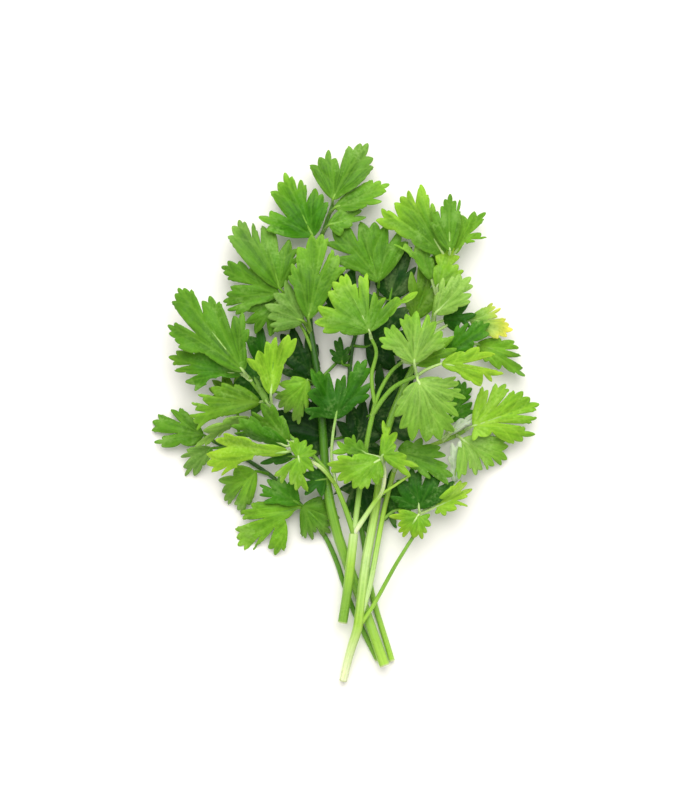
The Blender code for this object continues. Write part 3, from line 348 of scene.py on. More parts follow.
class Heap:
    """The height of what lies on the surface so far, on a square grid."""

    def __init__(self) -> None:
        """Starts with the bare surface."""
        self.x = np.arange(HEAP_X[0], HEAP_X[1] + CELL, CELL)
        self.y = np.arange(HEAP_Y[0], HEAP_Y[1] + CELL, CELL)
        grid = np.meshgrid(self.x, self.y, indexing="ij")
        self.cells = np.column_stack([grid[0].ravel(), grid[1].ravel()])
        self.shape = grid[0].shape
        self.floor = -(CLEARANCE + FLOOR_SINK)
        self.others = np.full(self.shape, self.floor)
        self.own_blades = self.others.copy()
        self.own_stems = self.others.copy()

    def near(self, line: np.ndarray, reach: float) -> np.ndarray:
        """The cells within reach of a polyline, as a mask."""
        low, high = line.min(axis=0) - reach, line.max(axis=0) + reach
        box = np.all((self.cells > low) & (self.cells < high), axis=1)
        mask = np.zeros(len(self.cells), bool)
        mask[box] = distance_to_line(self.cells[box], line)[0] < reach
        return mask.reshape(self.shape)

    def cover(self, with_stems: bool, route: np.ndarray, n: int) -> np.ndarray:
        """A smooth surface that nothing below sticks out of.

        Args:
            with_stems: whether the stalk's own stems count, as its own blades do.
            route: the line near which the stalk's own pieces don't count.
            n: over how many cells the surface is rounded.

        Returns:
            Its height at each cell.
        """
        own = np.maximum(self.own_blades, self.own_stems) if with_stems else self.own_blades
        top = np.maximum(self.others, np.where(self.near(route, OWN_REACH), self.floor, own))
        disc = [(i, j) for i in range(-n, n + 1) for j in range(-n, n + 1) if i * i + j * j <= n * n]
        high = np.max([np.roll(top, step, axis=(0, 1)) for step in disc], axis=0)
        weights = np.array([1.0 - (i * i + j * j) / (n + 1.0) ** 2 for i, j in disc])
        moved = [np.roll(high, step, axis=(0, 1)) for step in disc]
        return np.tensordot(weights / weights.sum(), moved, axes=1)

    def sample(self, surface: np.ndarray, points: np.ndarray) -> np.ndarray:
        """The surface's height at any points, by cubic B-splines, so that it has no creases."""
        u = (points[:, 0] - self.x[0]) / CELL
        v = (points[:, 1] - self.y[0]) / CELL
        i, j = np.floor(u).astype(int), np.floor(v).astype(int)
        weights = [spline_weights(u - i), spline_weights(v - j)]
        total = np.zeros(len(points))
        for a in range(4):
            for b in range(4):
                total += weights[0][a] * weights[1][b] * surface[i + a - 1, j + b - 1]
        return total

    def add_blade(self, outline: np.ndarray, height: Callable[[np.ndarray], np.ndarray]) -> None:
        """Adds a blade's top to the stalk's own pieces."""
        ring = np.vstack([outline, outline[:1]])
        near = self.near(ring, RIM).ravel() | inside(self.cells, outline)
        flat = self.own_blades.ravel()
        flat[near] = np.maximum(flat[near], height(self.cells[near]) + SOLID_THICKNESS / 2)

    def add_stem(self, line: np.ndarray, heights: np.ndarray, radius: np.ndarray) -> None:
        """Adds a stem's top to the stalk's own pieces."""
        near = self.near(line, radius.max() + RIM).ravel()
        index = distance_to_line(self.cells[near], line)[1]
        flat = self.own_stems.ravel()
        flat[near] = np.maximum(flat[near], heights[index] + radius[index])

    def finish_stalk(self) -> None:
        """What was the stalk's own now lies below the next stalk."""
        self.others = np.maximum(self.others, np.maximum(self.own_blades, self.own_stems))
        self.own_blades = np.full(self.shape, self.floor)
        self.own_stems = self.own_blades.copy()


@dataclass
class BladeForm:
    """How high a leaflet's blade lies at any plan point, and the directions in which it grows."""

    plan: LeafletPlan
    heap: Heap
    number: int
    base: np.ndarray = field(init=False)
    along: np.ndarray = field(init=False)
    across: np.ndarray = field(init=False)
    length: float = field(init=False)
    foot: float = 0.0
    cover: np.ndarray | None = None

    def __post_init__(self) -> None:
        """Works out the blade's base, its directions and its length."""
        tips = np.array([tip for lobe in self.plan.lobes for tip in lobe], float)
        self.base = np.array(self.plan.route[-1], float)
        self.along = tips.mean(axis=0) - self.base
        self.along /= np.linalg.norm(self.along)
        self.across = np.array([-self.along[1], self.along[0]])
        self.length = np.max((tips - self.base) @ self.along)

    def polar(self, points: np.ndarray) -> tuple[np.ndarray, np.ndarray, np.ndarray, np.ndarray]:
        """Each point's place along and across the blade, its distance from the base and its angle."""
        offset = points - self.base
        u, v = offset @ self.along / self.length, offset @ self.across / self.length
        return u, v, np.hypot(u, v), np.arctan2(v, u)

    def height(self, points: np.ndarray) -> np.ndarray:
        """The height of the blade's middle surface."""
        plan = self.plan
        u, v, spread, turn = self.polar(points)
        sway = SWAY * math.sin(SWAY_TURN @ self.base)
        free_form = (
            self.foot
            + self.length * plan.fold * (np.sqrt(v**2 + FOLD_ROUND) - math.sqrt(FOLD_ROUND))
            + self.length * (plan.roll + sway) * v
            + self.length * PITCH * u
            - self.length * DROOP * plan.droop * np.maximum(spread - DROOP_START, 0) ** 2
            + self.length * plan.wave * np.sin(WAVE_TURN * turn + self.base[0]) * spread**2
        )
        low = self.heap.sample(self.cover, points) + SOLID_THICKNESS / 2 + CLEARANCE
        lowest = SOLID_THICKNESS / 2 + REST_STEP * ((self.number - 1) % REST_STEPS)
        return np.maximum(smooth_max(free_form, low, BLADE_EASE), lowest)

    def solid_outline(self) -> np.ndarray:
        """The cut edge of the leaflet's solid, from one side of its base to the other."""
        return turned_left(np.array([corner for corner, _ in self.corners()]))

    def corners(self) -> list[tuple[np.ndarray, str]]:
        """The corners of the cut edge in order, each with its kind: base, tip, nick or notch."""
        lobes = [[np.array(tip, float) for tip in lobe] for lobe in self.plan.lobes]
        edge = []
        for n, lobe in enumerate(lobes):
            heart = self.base + LOBE_HEART * (np.mean(lobe, axis=0) - self.base)
            for tip, after in zip(lobe, lobe[1:]):
                middle = (tip + after) / 2
                inward = heart - middle
                reach = np.linalg.norm(inward)
                apart = np.linalg.norm(after - tip)
                depth = min(TOOTH_DEPTH * apart, TOOTH_DEPTH_MOST, TOOTH_DEPTH_SHARE * reach)
                edge += [(tip, "tip"), (middle + inward / reach * depth, "nick")]
            edge.append((lobe[-1], "tip"))
            if n + 1 < len(lobes):
                between = (lobe[-1] + lobes[n + 1][0]) / 2
                shallow = self.base + NOTCH_SHARE * (between - self.base)
                cut = np.array(self.plan.cuts[n]) if n < len(self.plan.cuts) else shallow
                edge.append((cut, "notch"))
        side = 1.0 if (edge[0][0] - self.base) @ self.across > 0 else -1.0
        start, end = (self.base + side * sign * BASE_HALF_WIDTH * self.across for sign in (1, -1))
        return [(start, "base")] + edge + [(end, "base")]


def find_joint(point: tuple, stems: list) -> tuple[tuple, float | None]:
    """The point on the nearest stem's axis, and its height there. The first stem has only its own end."""
    if not stems:
        return tuple(point), None
    lines = np.vstack([line for line, _, _ in stems])
    heights = np.concatenate([heights for _, heights, _ in stems])
    nearest = np.argmin(np.linalg.norm(lines - np.array(point), axis=1))
    return tuple(lines[nearest]), heights[nearest]


def lay_stem(heap: Heap, plan: StemPlan, stems: list) -> tuple[np.ndarray, np.ndarray, np.ndarray]:
    """Lays a stem on the heap.

    Args:
        heap: what lies below.
        plan: the stem.
        stems: the stalk's stems so far, one of which it grows from.

    Returns:
        Its line in the plan, its heights and its radii.
    """
    joint, start = find_joint(plan.points[0], stems)
    line = spaced([joint] + plan.points[1:], STEM_STEP)
    radius = np.interp(np.linspace(0, 1, len(line)), np.linspace(0, 1, len(plan.radii)), plan.radii)
    below = heap.sample(heap.cover(False, line[:2], STEM_CELLS), line)
    rest = stiffen(below, plan.stiff, STEM_STEP) + radius + CLEARANCE
    free = (radius[0] if start is None else start) + LIFT * plan.rise * np.linspace(0, 1, len(line))
    heights = np.maximum(smooth_max(free, rest, STEM_EASE), radius)
    if start is not None:
        heights[0] = start
    return line, heights, radius


def lay_leaflet(heap: Heap, plan: LeafletPlan, stems: list,
                number: int) -> tuple[np.ndarray, np.ndarray, BladeForm]:
    """Lays a leaflet on the heap.

    Args:
        heap: what lies below.
        plan: the leaflet.
        stems: the stalk's stems, one of which it grows from.
        number: its place in the stalk's plans.

    Returns:
        The line of its petiole in the plan, the petiole's heights, and the form of its blade.
    """
    form = BladeForm(plan, heap, number)
    joint, start = find_joint(plan.route[0], stems)
    route = spaced([joint] + plan.route[1:], STEM_STEP)
    below = heap.sample(heap.cover(False, route, STEM_CELLS), route)
    rest = stiffen(below, WEAVE, STEM_STEP) + plan.radius + CLEARANCE
    free = start + LIFT * plan.rise * np.linspace(0, 1, len(route))
    heights = np.maximum(smooth_max(free, rest, STEM_EASE), plan.radius)
    heights[0] = start
    form.cover = heap.cover(True, route, BLADE_CELLS)
    form.foot = heights[-1]
    return route, heights, form


def gaps_between(points: np.ndarray, others: np.ndarray) -> np.ndarray:
    """Each point's distance to the nearest of the others."""
    tree = KDTree(len(others))
    for n, (x, y) in enumerate(others):
        tree.insert((x, y, 0.0), n)
    tree.balance()
    return np.array([tree.find((x, y, 0.0))[2] for x, y in points])


@dataclass(frozen=True)
class Vein:
    """One vein of a blade: its points in the plan, its half width at both ends and how strong it shows."""

    path: np.ndarray
    wide: float
    narrow: float
    strength: float
    raised: bool = True


@dataclass
class Blade:
    """The fine blade of a leaflet, cut, veined and quilted, built on its form."""

    form: BladeForm
    seed: int
    slit_share: float = 0.88
    nick_share: float = 0.1
    tip_round: float = 0.65
    small_tooth: float = 0.34
    small_tooth_length: float = 2.9
    outline: np.ndarray = field(init=False)
    veins: list[Vein] = field(init=False)

    def __post_init__(self) -> None:
        """Draws the edge, then the veins within it."""
        self.outline = self.fine_outline()
        self.veins = self.grow_veins()

    def fine_outline(self) -> np.ndarray:
        """The cut edge at full detail: teeth with slightly rounded tips, and narrow slits between lobes."""
        corners = self.form.corners()
        kinds = [kind for _, kind in corners]
        points = [point for point, _ in corners]
        for n, kind in enumerate(kinds):
            if kind == "notch":
                points[n] = self.form.base + self.slit_share * (points[n] - self.form.base)
            elif kind == "nick":
                points[n] = points[n] + self.nick_share * (points[n] - (points[n - 1] + points[n + 1]) / 2)
        centre = np.mean(points, axis=0)
        ways = [np.zeros(2)]
        for before, here, after in zip(points, points[1:], points[2:]):
            ways.append(unit(unit(here - before) + unit(here - after)))
        ways.append(np.zeros(2))
        edge = []
        for n in range(len(points) - 1):
            first = self.handle(points[n], points[n + 1], ways[n], kinds[n], centre)
            last = self.handle(points[n + 1], points[n], ways[n + 1], kinds[n + 1], centre)
            stretch = curved(points[n], first, last, points[n + 1], EDGE_SPACING)
            edge.append(self.toothed(stretch, points[n + 1], kinds[n : n + 2], centre))
        edge.append(points[-1][None, :])
        return turned_left(np.vstack(edge))

    def handle(self, here: np.ndarray, there: np.ndarray, way: np.ndarray, kind: str,
               centre: np.ndarray) -> np.ndarray:
        """The point that pulls the edge as it leaves a corner.

        Args:
            here: the corner.
            there: the next corner that the stretch runs to.
            way: the direction that halves the corner, pointing away from the blade at a tip.
            kind: what the corner is.
            centre: the middle of the blade.

        Returns:
            A point in the plan.
        """
        span = float(np.linalg.norm(there - here))
        if kind == "tip":
            tangent = np.array([-way[1], way[0]])
            tangent = tangent if tangent @ (there - here) > 0 else -tangent
            return here + min(TIP_PULL * span, self.tip_round) * tangent
        if kind == "base":
            out = np.array([here[1] - there[1], there[0] - here[0]]) / span
            out = out if out @ ((here + there) / 2 - centre) > 0 else -out
            return here + BASE_PULL * span * unit(unit(there - here) + self.form.plan.swell * out)
        return here + NOTCH_PULL * span * unit(0.5 * unit(there - here) - 0.5 * way)

    def toothed(self, stretch: np.ndarray, end: np.ndarray, kinds: list[str],
                centre: np.ndarray) -> np.ndarray:
        """Adds small teeth to a long stretch, in its outer part."""
        span = float(np.linalg.norm(end - stretch[0]))
        if kinds == ["tip", "nick"] or kinds == ["nick", "tip"] or span < 2 * self.small_tooth_length:
            return stretch
        t = np.linspace(0, 1, len(stretch), endpoint=False)
        toward = t if kinds[1] == "tip" else 1 - t
        out = np.gradient(stretch, axis=0) @ np.array([[0, 1], [-1, 0]])
        out /= np.maximum(np.linalg.norm(out, axis=1), 1e-9)[:, None]
        if out[len(out) // 2] @ (stretch[len(out) // 2] - centre) < 0:
            out = -out
        waves = round(span / self.small_tooth_length)
        size = self.small_tooth * (0.5 - np.abs(np.sin(math.pi * waves * t)))
        size *= smooth_step(2.4 * toward - 0.9)
        return stretch + out * (size * smooth_step(8 * np.minimum(t, 1 - t)))[:, None]

    def clipped(self, veins: list[Vein]) -> list[Vein]:
        """The veins up to where they near the edge."""
        ring = np.vstack([self.outline, self.outline[:1]])
        points = np.vstack([vein.path for vein in veins])
        free = inside(points, self.outline) & (distance_to_line(points, ring)[0] > VEIN_CLEAR)
        kept, start = [], 0
        for vein in veins:
            good = free[start : start + len(vein.path)]
            start += len(vein.path)
            first = int(np.argmax(good))
            bad = np.flatnonzero(~good[first:])
            path = vein.path[first : first + (bad[0] if len(bad) else len(good))]
            if len(path) > 2:
                kept.append(Vein(path, vein.wide, vein.narrow, vein.strength, vein.raised))
        return kept

    def grow_veins(self) -> list[Vein]:
        """The veins: one into each lobe, one from it to each tooth, and small side veins along them all."""
        base, along = self.form.base, self.form.along
        found: list[Vein] = []
        for lobe in self.form.plan.lobes:
            tips = np.array(lobe, float)
            main = tips[np.argmax(np.linalg.norm(tips - base, axis=1))]
            way = unit(main - base)
            reach = float(np.linalg.norm(main - base))
            pull = base + (0.5 * way + 0.5 * along * max(0.0, float(way @ along))) * 0.5 * reach
            path = bent(base, pull, main, VEIN_SPACING)
            found.append(Vein(path, *MAIN_VEIN))
            for tooth in tips:
                if np.allclose(tooth, main):
                    continue
                ahead = float((tooth - base) @ way)
                aside = float(np.linalg.norm(tooth - base - ahead * way))
                leave = float(np.clip((ahead - 1.5 * aside) / reach, 0.18, 0.85))
                i = int(leave * (len(path) - 2))
                start, heading = path[i], unit(path[i + 1] - path[i])
                pull = start + heading * 0.4 * np.linalg.norm(tooth - start)
                found.append(Vein(bent(start, pull, tooth, VEIN_SPACING), *TOOTH_VEIN))
        small = []
        for vein in found:
            gap = int(SIDE_VEIN_GAP / VEIN_SPACING)
            for k, i in enumerate(range(gap, len(vein.path) - 2, gap)):
                heading = unit(vein.path[i + 1] - vein.path[i])
                side = np.array([-heading[1], heading[0]]) * (1 if k % 2 else -1)
                start = vein.path[i]
                span = SIDE_VEIN_LENGTH - SIDE_VEIN_SHORTER * i / len(vein.path)
                end = start + (0.86 * heading + 0.5 * side) * span
                pull = start + (0.6 * heading + 0.6 * side) * 0.5 * span
                small.append(Vein(bent(start, pull, end, VEIN_SPACING), *SIDE_VEIN, False))
        return self.clipped(found + small)

    def middle_vein(self) -> np.ndarray:
        """The vein that runs on most nearly straight from the petiole."""
        mains = [vein for vein in self.veins if vein.wide == MAIN_VEIN[0]]
        scores = [float(unit(vein.path[-1] - self.form.base) @ self.form.along) for vein in mains]
        return mains[int(np.argmax(scores))].path

    def plan_points(self) -> np.ndarray:
        """The points of the blade in the plan: its edge, its raised veins, and an even filling."""
        low, high = self.outline.min(axis=0), self.outline.max(axis=0)
        rows = np.arange(low[1], high[1], POINT_SPACING * math.sqrt(3) / 2)
        columns = np.arange(low[0], high[0], POINT_SPACING)
        filling = [(x + (n % 2) * POINT_SPACING / 2, y) for n, y in enumerate(rows) for x in columns]
        filling = np.array(filling)
        ring = np.vstack([self.outline, self.outline[:1]])
        clear = inside(filling, self.outline) & (distance_to_line(filling, ring)[0] > FILLING_FROM_EDGE)
        filling = filling[clear]
        lines = []
        for vein in self.veins:
            if vein.raised:
                path = vein.path[1:]
                if lines:
                    path = path[gaps_between(path, np.vstack(lines)) > VEIN_FROM_VEIN]
                lines.append(path)
        lines = np.vstack(lines)
        filling = filling[gaps_between(filling, lines) > FILLING_FROM_VEIN]
        return np.vstack([self.outline, lines, filling])

    def vein_marks(self, points: np.ndarray) -> tuple[np.ndarray, np.ndarray]:
        """How strongly a vein shows at each point, and how far the nearest large vein is."""
        shown = np.zeros(len(points))
        nearest = np.full(len(points), np.inf)
        for vein in self.veins:
            reach = 4 * vein.wide + 3.0 if vein.raised else 4 * vein.wide + 0.4
            low, high = vein.path.min(axis=0) - reach, vein.path.max(axis=0) + reach
            box = np.flatnonzero(np.all((points > low) & (points < high), axis=1))
            if len(box) == 0:
                continue
            gap, index = distance_to_line(points[box], vein.path)
            share = index / max(1, len(vein.path) - 1)
            width = vein.wide + (vein.narrow - vein.wide) * share
            mark = vein.strength * (1 - VEIN_FADE * share) * np.exp(-((gap / width) ** 2))
            shown[box] = np.maximum(shown[box], mark)
            if vein.raised:
                nearest[box] = np.minimum(nearest[box], gap)
        return shown, nearest

    def ripple(self, points: np.ndarray) -> np.ndarray:
        """Gentle unevenness of the blade, from a few crossing waves."""
        rng = np.random.default_rng(self.seed)
        total = np.zeros(len(points))
        for length, size in WAVES:
            heading = rng.uniform(0, 2 * math.pi)
            wave = points @ np.array([math.cos(heading), math.sin(heading)])
            total += size * np.sin(2 * math.pi * wave / length + rng.uniform(0, 2 * math.pi))
        return total

    def pleats(self, turn: np.ndarray, spread: np.ndarray) -> np.ndarray:
        """Folds that fan out from the base, as heights."""
        rng = np.random.default_rng(self.seed + FOLDS_SEED)
        total = np.zeros(len(turn))
        for often, share in FOLDS:
            often *= rng.uniform(0.85, 1.15)
            total += share * np.sin(often * turn + rng.uniform(0, 2 * math.pi))
        size = PLEAT * min(MOST_FOLDED, self.form.length / FOLDED_LENGTH)
        return size * total * smooth_step(spread * 1.6)

    def shell(self) -> dict[str, np.ndarray]:
        """The blade as a closed shell.

        Returns:
            Its vertices in millimetres, its triangles, and for each vertex its colour and marks.
        """
        plan = self.plan_points()
        count = len(self.outline)
        made = delaunay_2d_cdt([Vector(p) for p in plan], [], [list(range(count))], 1, 1e-5)
        flat = np.array([tuple(p) for p in made[0]])
        faces = np.array(made[2])
        a, b, c = flat[faces[:, 0]], flat[faces[:, 1]], flat[faces[:, 2]]
        areas = (b[:, 0] - a[:, 0]) * (c[:, 1] - a[:, 1]) - (b[:, 1] - a[:, 1]) * (c[:, 0] - a[:, 0])
        faces = np.where(areas[:, None] > 0, faces, faces[:, ::-1])[np.abs(areas) > 1e-9]
        ring = np.vstack([self.outline, self.outline[:1]])
        margin = distance_to_line(flat, ring)[0]
        shown, nearest = self.vein_marks(flat)
        height = self.form.height(flat)
        slope_x = (self.form.height(flat + [SLOPE_STEP, 0]) - height) / SLOPE_STEP
        slope_y = (self.form.height(flat + [0, SLOPE_STEP]) - height) / SLOPE_STEP
        normal = np.column_stack([-slope_x, -slope_y, np.ones(len(flat))])
        normal /= np.linalg.norm(normal, axis=1)[:, None]
        within = smooth_step(margin / CALM_RIM)
        quilt = QUILT * smooth_step(np.minimum(nearest, QUILT_REACH) / QUILT_REACH) * (0.35 + 0.65 * within)
        curl = EDGE_CURL * np.exp(-margin / CURL_REACH)
        _, _, spread, turn = self.form.polar(flat)
        relief = quilt - GROOVE * shown - curl + self.ripple(flat) + self.pleats(turn, spread)
        thickness = BLADE_THIN + (BLADE_THICK - BLADE_THIN) * smooth_step(margin / THIN_RIM)
        middle = np.column_stack([flat, height]) + normal * relief[:, None]
        top = middle + normal * (thickness / 2)[:, None]
        bottom = middle - normal * (thickness / 2 + GROOVE * 1.6 * shown)[:, None]
        for layer, lift in ((bottom, LOWEST), (top, LOWEST + BLADE_THIN)):
            layer[:, 2] = np.maximum(layer[:, 2], lift)
        rim = self.rim_of(faces)
        n = len(flat)
        walls = np.vstack([np.column_stack([rim[:, 1], rim[:, 0], rim[:, 0] + n]),
                           np.column_stack([rim[:, 1], rim[:, 0] + n, rim[:, 1] + n])])
        toward_tip = smooth_step((spread - 0.3) / 0.7) * (0.5 + 0.5 * np.exp(-margin / TIP_GLOW))
        tone = np.array(self.form.plan.tone.value)
        tip = np.array(self.form.plan.tip.value)
        color = tone + (tip - tone) * toward_tip[:, None]
        radial = np.column_stack([turn, spread, np.full(n, 0.37 * self.seed)])
        return {
            "vertices": np.vstack([top, bottom]),
            "triangles": np.vstack([faces, faces[:, ::-1] + n, walls]),
            "tone": np.tile(np.column_stack([color, np.ones(n)]), (2, 1)),
            "vein": np.tile(shown, 2),
            "edge": np.tile(np.exp(-margin / EDGE_GLOW), 2),
            "under": np.concatenate([np.zeros(n), np.ones(n)]),
            "radial": np.tile(radial, (2, 1)),
        }

    @staticmethod
    def rim_of(faces: np.ndarray) -> np.ndarray:
        """The edges that only one triangle uses, in that triangle's direction."""
        edges = np.vstack([faces[:, [0, 1]], faces[:, [1, 2]], faces[:, [2, 0]]])
        key = np.sort(edges, axis=1)
        _, index, count = np.unique(key, axis=0, return_index=True, return_counts=True)
        return edges[index[count == 1]]


@dataclass
class Tube:
    """A stem, a petiole or a midrib: its points in space, its radii and its colours at even steps."""

    line: np.ndarray
    heights: np.ndarray
    radius: np.ndarray
    tones: tuple
    step: float = 1.0
    start: float = 0.0

    def rooted(self) -> "Tube":
        """The same tube with one more point before it, so that it starts well inside what it grows from."""
        back = self.line[0] - self.line[1]
        before = self.line[0] + back / np.linalg.norm(back) * self.radius[0]
        line = np.vstack([before, self.line])
        heights, radius = np.append(self.heights[0], self.heights), np.append(self.radius[0], self.radius)
        return Tube(line, heights, radius, self.tones, self.step, start=PAST_CUT)

    def points(self) -> dict[str, np.ndarray]:
        """The tube's points along a smooth curve, each with its radius, colour and place along the tube."""
        rows = np.column_stack([self.line, self.heights, self.radius])
        fine = spaced(rows, self.step)
        share = np.linspace(0, 1, len(fine))
        shades = np.array([tone.value for tone in self.tones])
        steps = np.linspace(0, 1, len(shades))
        color = np.column_stack([np.interp(share, steps, shades[:, k]) for k in range(3)])
        lengths = np.linalg.norm(np.diff(fine[:, :3], axis=0), axis=1)
        run = self.start + np.concatenate([[0], np.cumsum(lengths)])
        radius = np.maximum(fine[:, 3], THINNEST_TUBE)
        place = np.column_stack([fine[:, :2], np.maximum(fine[:, 2], radius + LOWEST)])
        return {"place": place, "radius": radius, "color": color, "run": run}


def thinned(line: np.ndarray, heights: np.ndarray, radius: np.ndarray, spacing: float) -> tuple:
    """A stem's points at wider steps, with both ends kept."""
    count = max(2, int(round((len(line) - 1) * STEM_STEP / spacing)) + 1)
    pick = np.unique(np.round(np.linspace(0, len(line) - 1, count)).astype(int))
    return line[pick], heights[pick], radius[pick]


class StemSweep:
    """The Geometry Nodes tree that sweeps a ridged profile along a stalk's lines."""

    def __init__(self, material: bpy.types.Material) -> None:
        """Builds the tree.

        Args:
            material: the finish that the swept stems get.
        """
        self.tree = bpy.data.node_groups.new("stem_sweep", "GeometryNodeTree")
        kinds = {"Lines": "Geometry", "Sides": "Int", "Ridges": "Float", "Ridge Depth": "Float"}
        sockets = [
            self.tree.interface.new_socket(name, in_out="INPUT", socket_type="NodeSocket" + kind).identifier
            for name, kind in kinds.items()
        ]
        self.sides, self.ridges, self.depth = sockets[1:]
        self.tree.interface.new_socket("Stems", in_out="OUTPUT", socket_type="NodeSocketGeometry")
        graph = Graph(self.tree)
        given = graph.add("NodeGroupInput").outputs
        curve = graph.add("GeometryNodeMeshToCurve", {"Mesh": given["Lines"]}).outputs[0]
        upright = graph.add("GeometryNodeSetCurveNormal", {"Curve": curve}, mode="Z_UP").outputs[0]
        named = graph.add("GeometryNodeInputNamedAttribute", {"Name": "radius_here"}, data_type="FLOAT")
        profile = self.ridged_profile(graph, given)
        paths = {"Curve": upright, "Scale": named.outputs["Attribute"], "Profile Curve": profile}
        swept = graph.add("GeometryNodeCurveToMesh", {**paths, "Fill Caps": True}).outputs[0]
        smooth = graph.add("GeometryNodeSetShadeSmooth", {"Geometry": swept}).outputs[0]
        real = graph.add("GeometryNodeRealizeInstances", {"Geometry": smooth}).outputs[0]
        dressed = graph.add("GeometryNodeSetMaterial", {"Geometry": real, "Material": material}).outputs[0]
        graph.add("NodeGroupOutput", {"Stems": dressed})

    @staticmethod
    def ridged_profile(graph: "Graph", given: Any) -> bpy.types.NodeSocket:
        """The stems' profile, a circle with ridges.

        Args:
            graph: the tree to add nodes to.
            given: the outputs of the tree's input node.

        Returns:
            The profile, which knows each point's place around it as the attribute around.
        """
        circle = {"Resolution": given["Sides"], "Radius": 1.0}
        profile = graph.add("GeometryNodeCurvePrimitiveCircle", circle).outputs["Curve"]
        turn = graph.add("GeometryNodeSplineParameter").outputs["Factor"]
        turns = graph.calc("MULTIPLY", graph.calc("MULTIPLY", turn, 2 * math.pi), given["Ridges"])
        swell = graph.calc("MULTIPLY", graph.calc("COSINE", turns), given["Ridge Depth"])
        place = graph.add("GeometryNodeInputPosition").outputs["Position"]
        push = graph.add("ShaderNodeVectorMath", {0: place, "Scale": swell}, operation="SCALE")
        moved = {"Geometry": profile, "Offset": push.outputs["Vector"]}
        ridged = graph.add("GeometryNodeSetPosition", moved).outputs[0]
        around = {"Geometry": ridged, "Name": "around", "Value": turn}
        kind = {"data_type": "FLOAT", "domain": "POINT"}
        return graph.add("GeometryNodeStoreNamedAttribute", around, **kind).outputs[0]

    def sweep(self, name: str, tubes: list[Tube], sides: int, ridges: float,
              depth: float) -> bpy.types.Object:
        """Sweeps the profile along each tube.

        Args:
            name: the name of the piece.
            tubes: the lines to follow, with their radii and colours.
            sides: how many sides the profile has.
            ridges: how many ridges run along a stem.
            depth: a ridge's height as a share of the radius.

        Returns:
            The stems as one plain mesh object, in metres.
        """
        runs = [tube.points() for tube in tubes]
        places = np.vstack([run["place"] for run in runs]) * MM
        edges, first = [], 0
        for run in runs:
            edges += [(first + i, first + i + 1) for i in range(len(run["run"]) - 1)]
            first += len(run["run"])
        lines = bpy.data.meshes.new(name + "_lines")
        lines.from_pydata(places.tolist(), edges, [])
        set_attribute(lines, "radius_here", np.concatenate([run["radius"] for run in runs]) * MM)
        set_attribute(lines, "run", np.concatenate([run["run"] for run in runs]))
        colors = np.vstack([run["color"] for run in runs])
        set_attribute(lines, "tone", np.column_stack([colors, np.ones(len(colors))]))
        guide = new_object(name + "_guide", lines)
        modifier = guide.modifiers.new("sweep", "NODES")
        modifier.node_group = self.tree
        modifier[self.sides] = sides
        modifier[self.ridges] = ridges
        modifier[self.depth] = depth
        swept = guide.evaluated_get(bpy.context.evaluated_depsgraph_get())
        mesh = bpy.data.meshes.new_from_object(swept)
        bpy.data.objects.remove(guide)
        mesh.name = name
        return new_object(name, mesh)


def new_object(name: str, data: bpy.types.ID) -> bpy.types.Object:
    """A new object in the scene."""
    made = bpy.data.objects.new(name, data)
    bpy.context.scene.collection.objects.link(made)
    return made


def set_attribute(mesh: bpy.types.Mesh, name: str, values: np.ndarray) -> None:
    """Gives each vertex a value: a number, a vector or a colour, by how many columns the values have."""
    columns = 1 if values.ndim == 1 else values.shape[1]
    kind, key = {1: ("FLOAT", "value"), 3: ("FLOAT_VECTOR", "vector"), 4: ("FLOAT_COLOR", "color")}[columns]
    attribute = mesh.attributes.new(name, kind, "POINT")
    attribute.data.foreach_set(key, np.ascontiguousarray(values, np.float32).ravel())


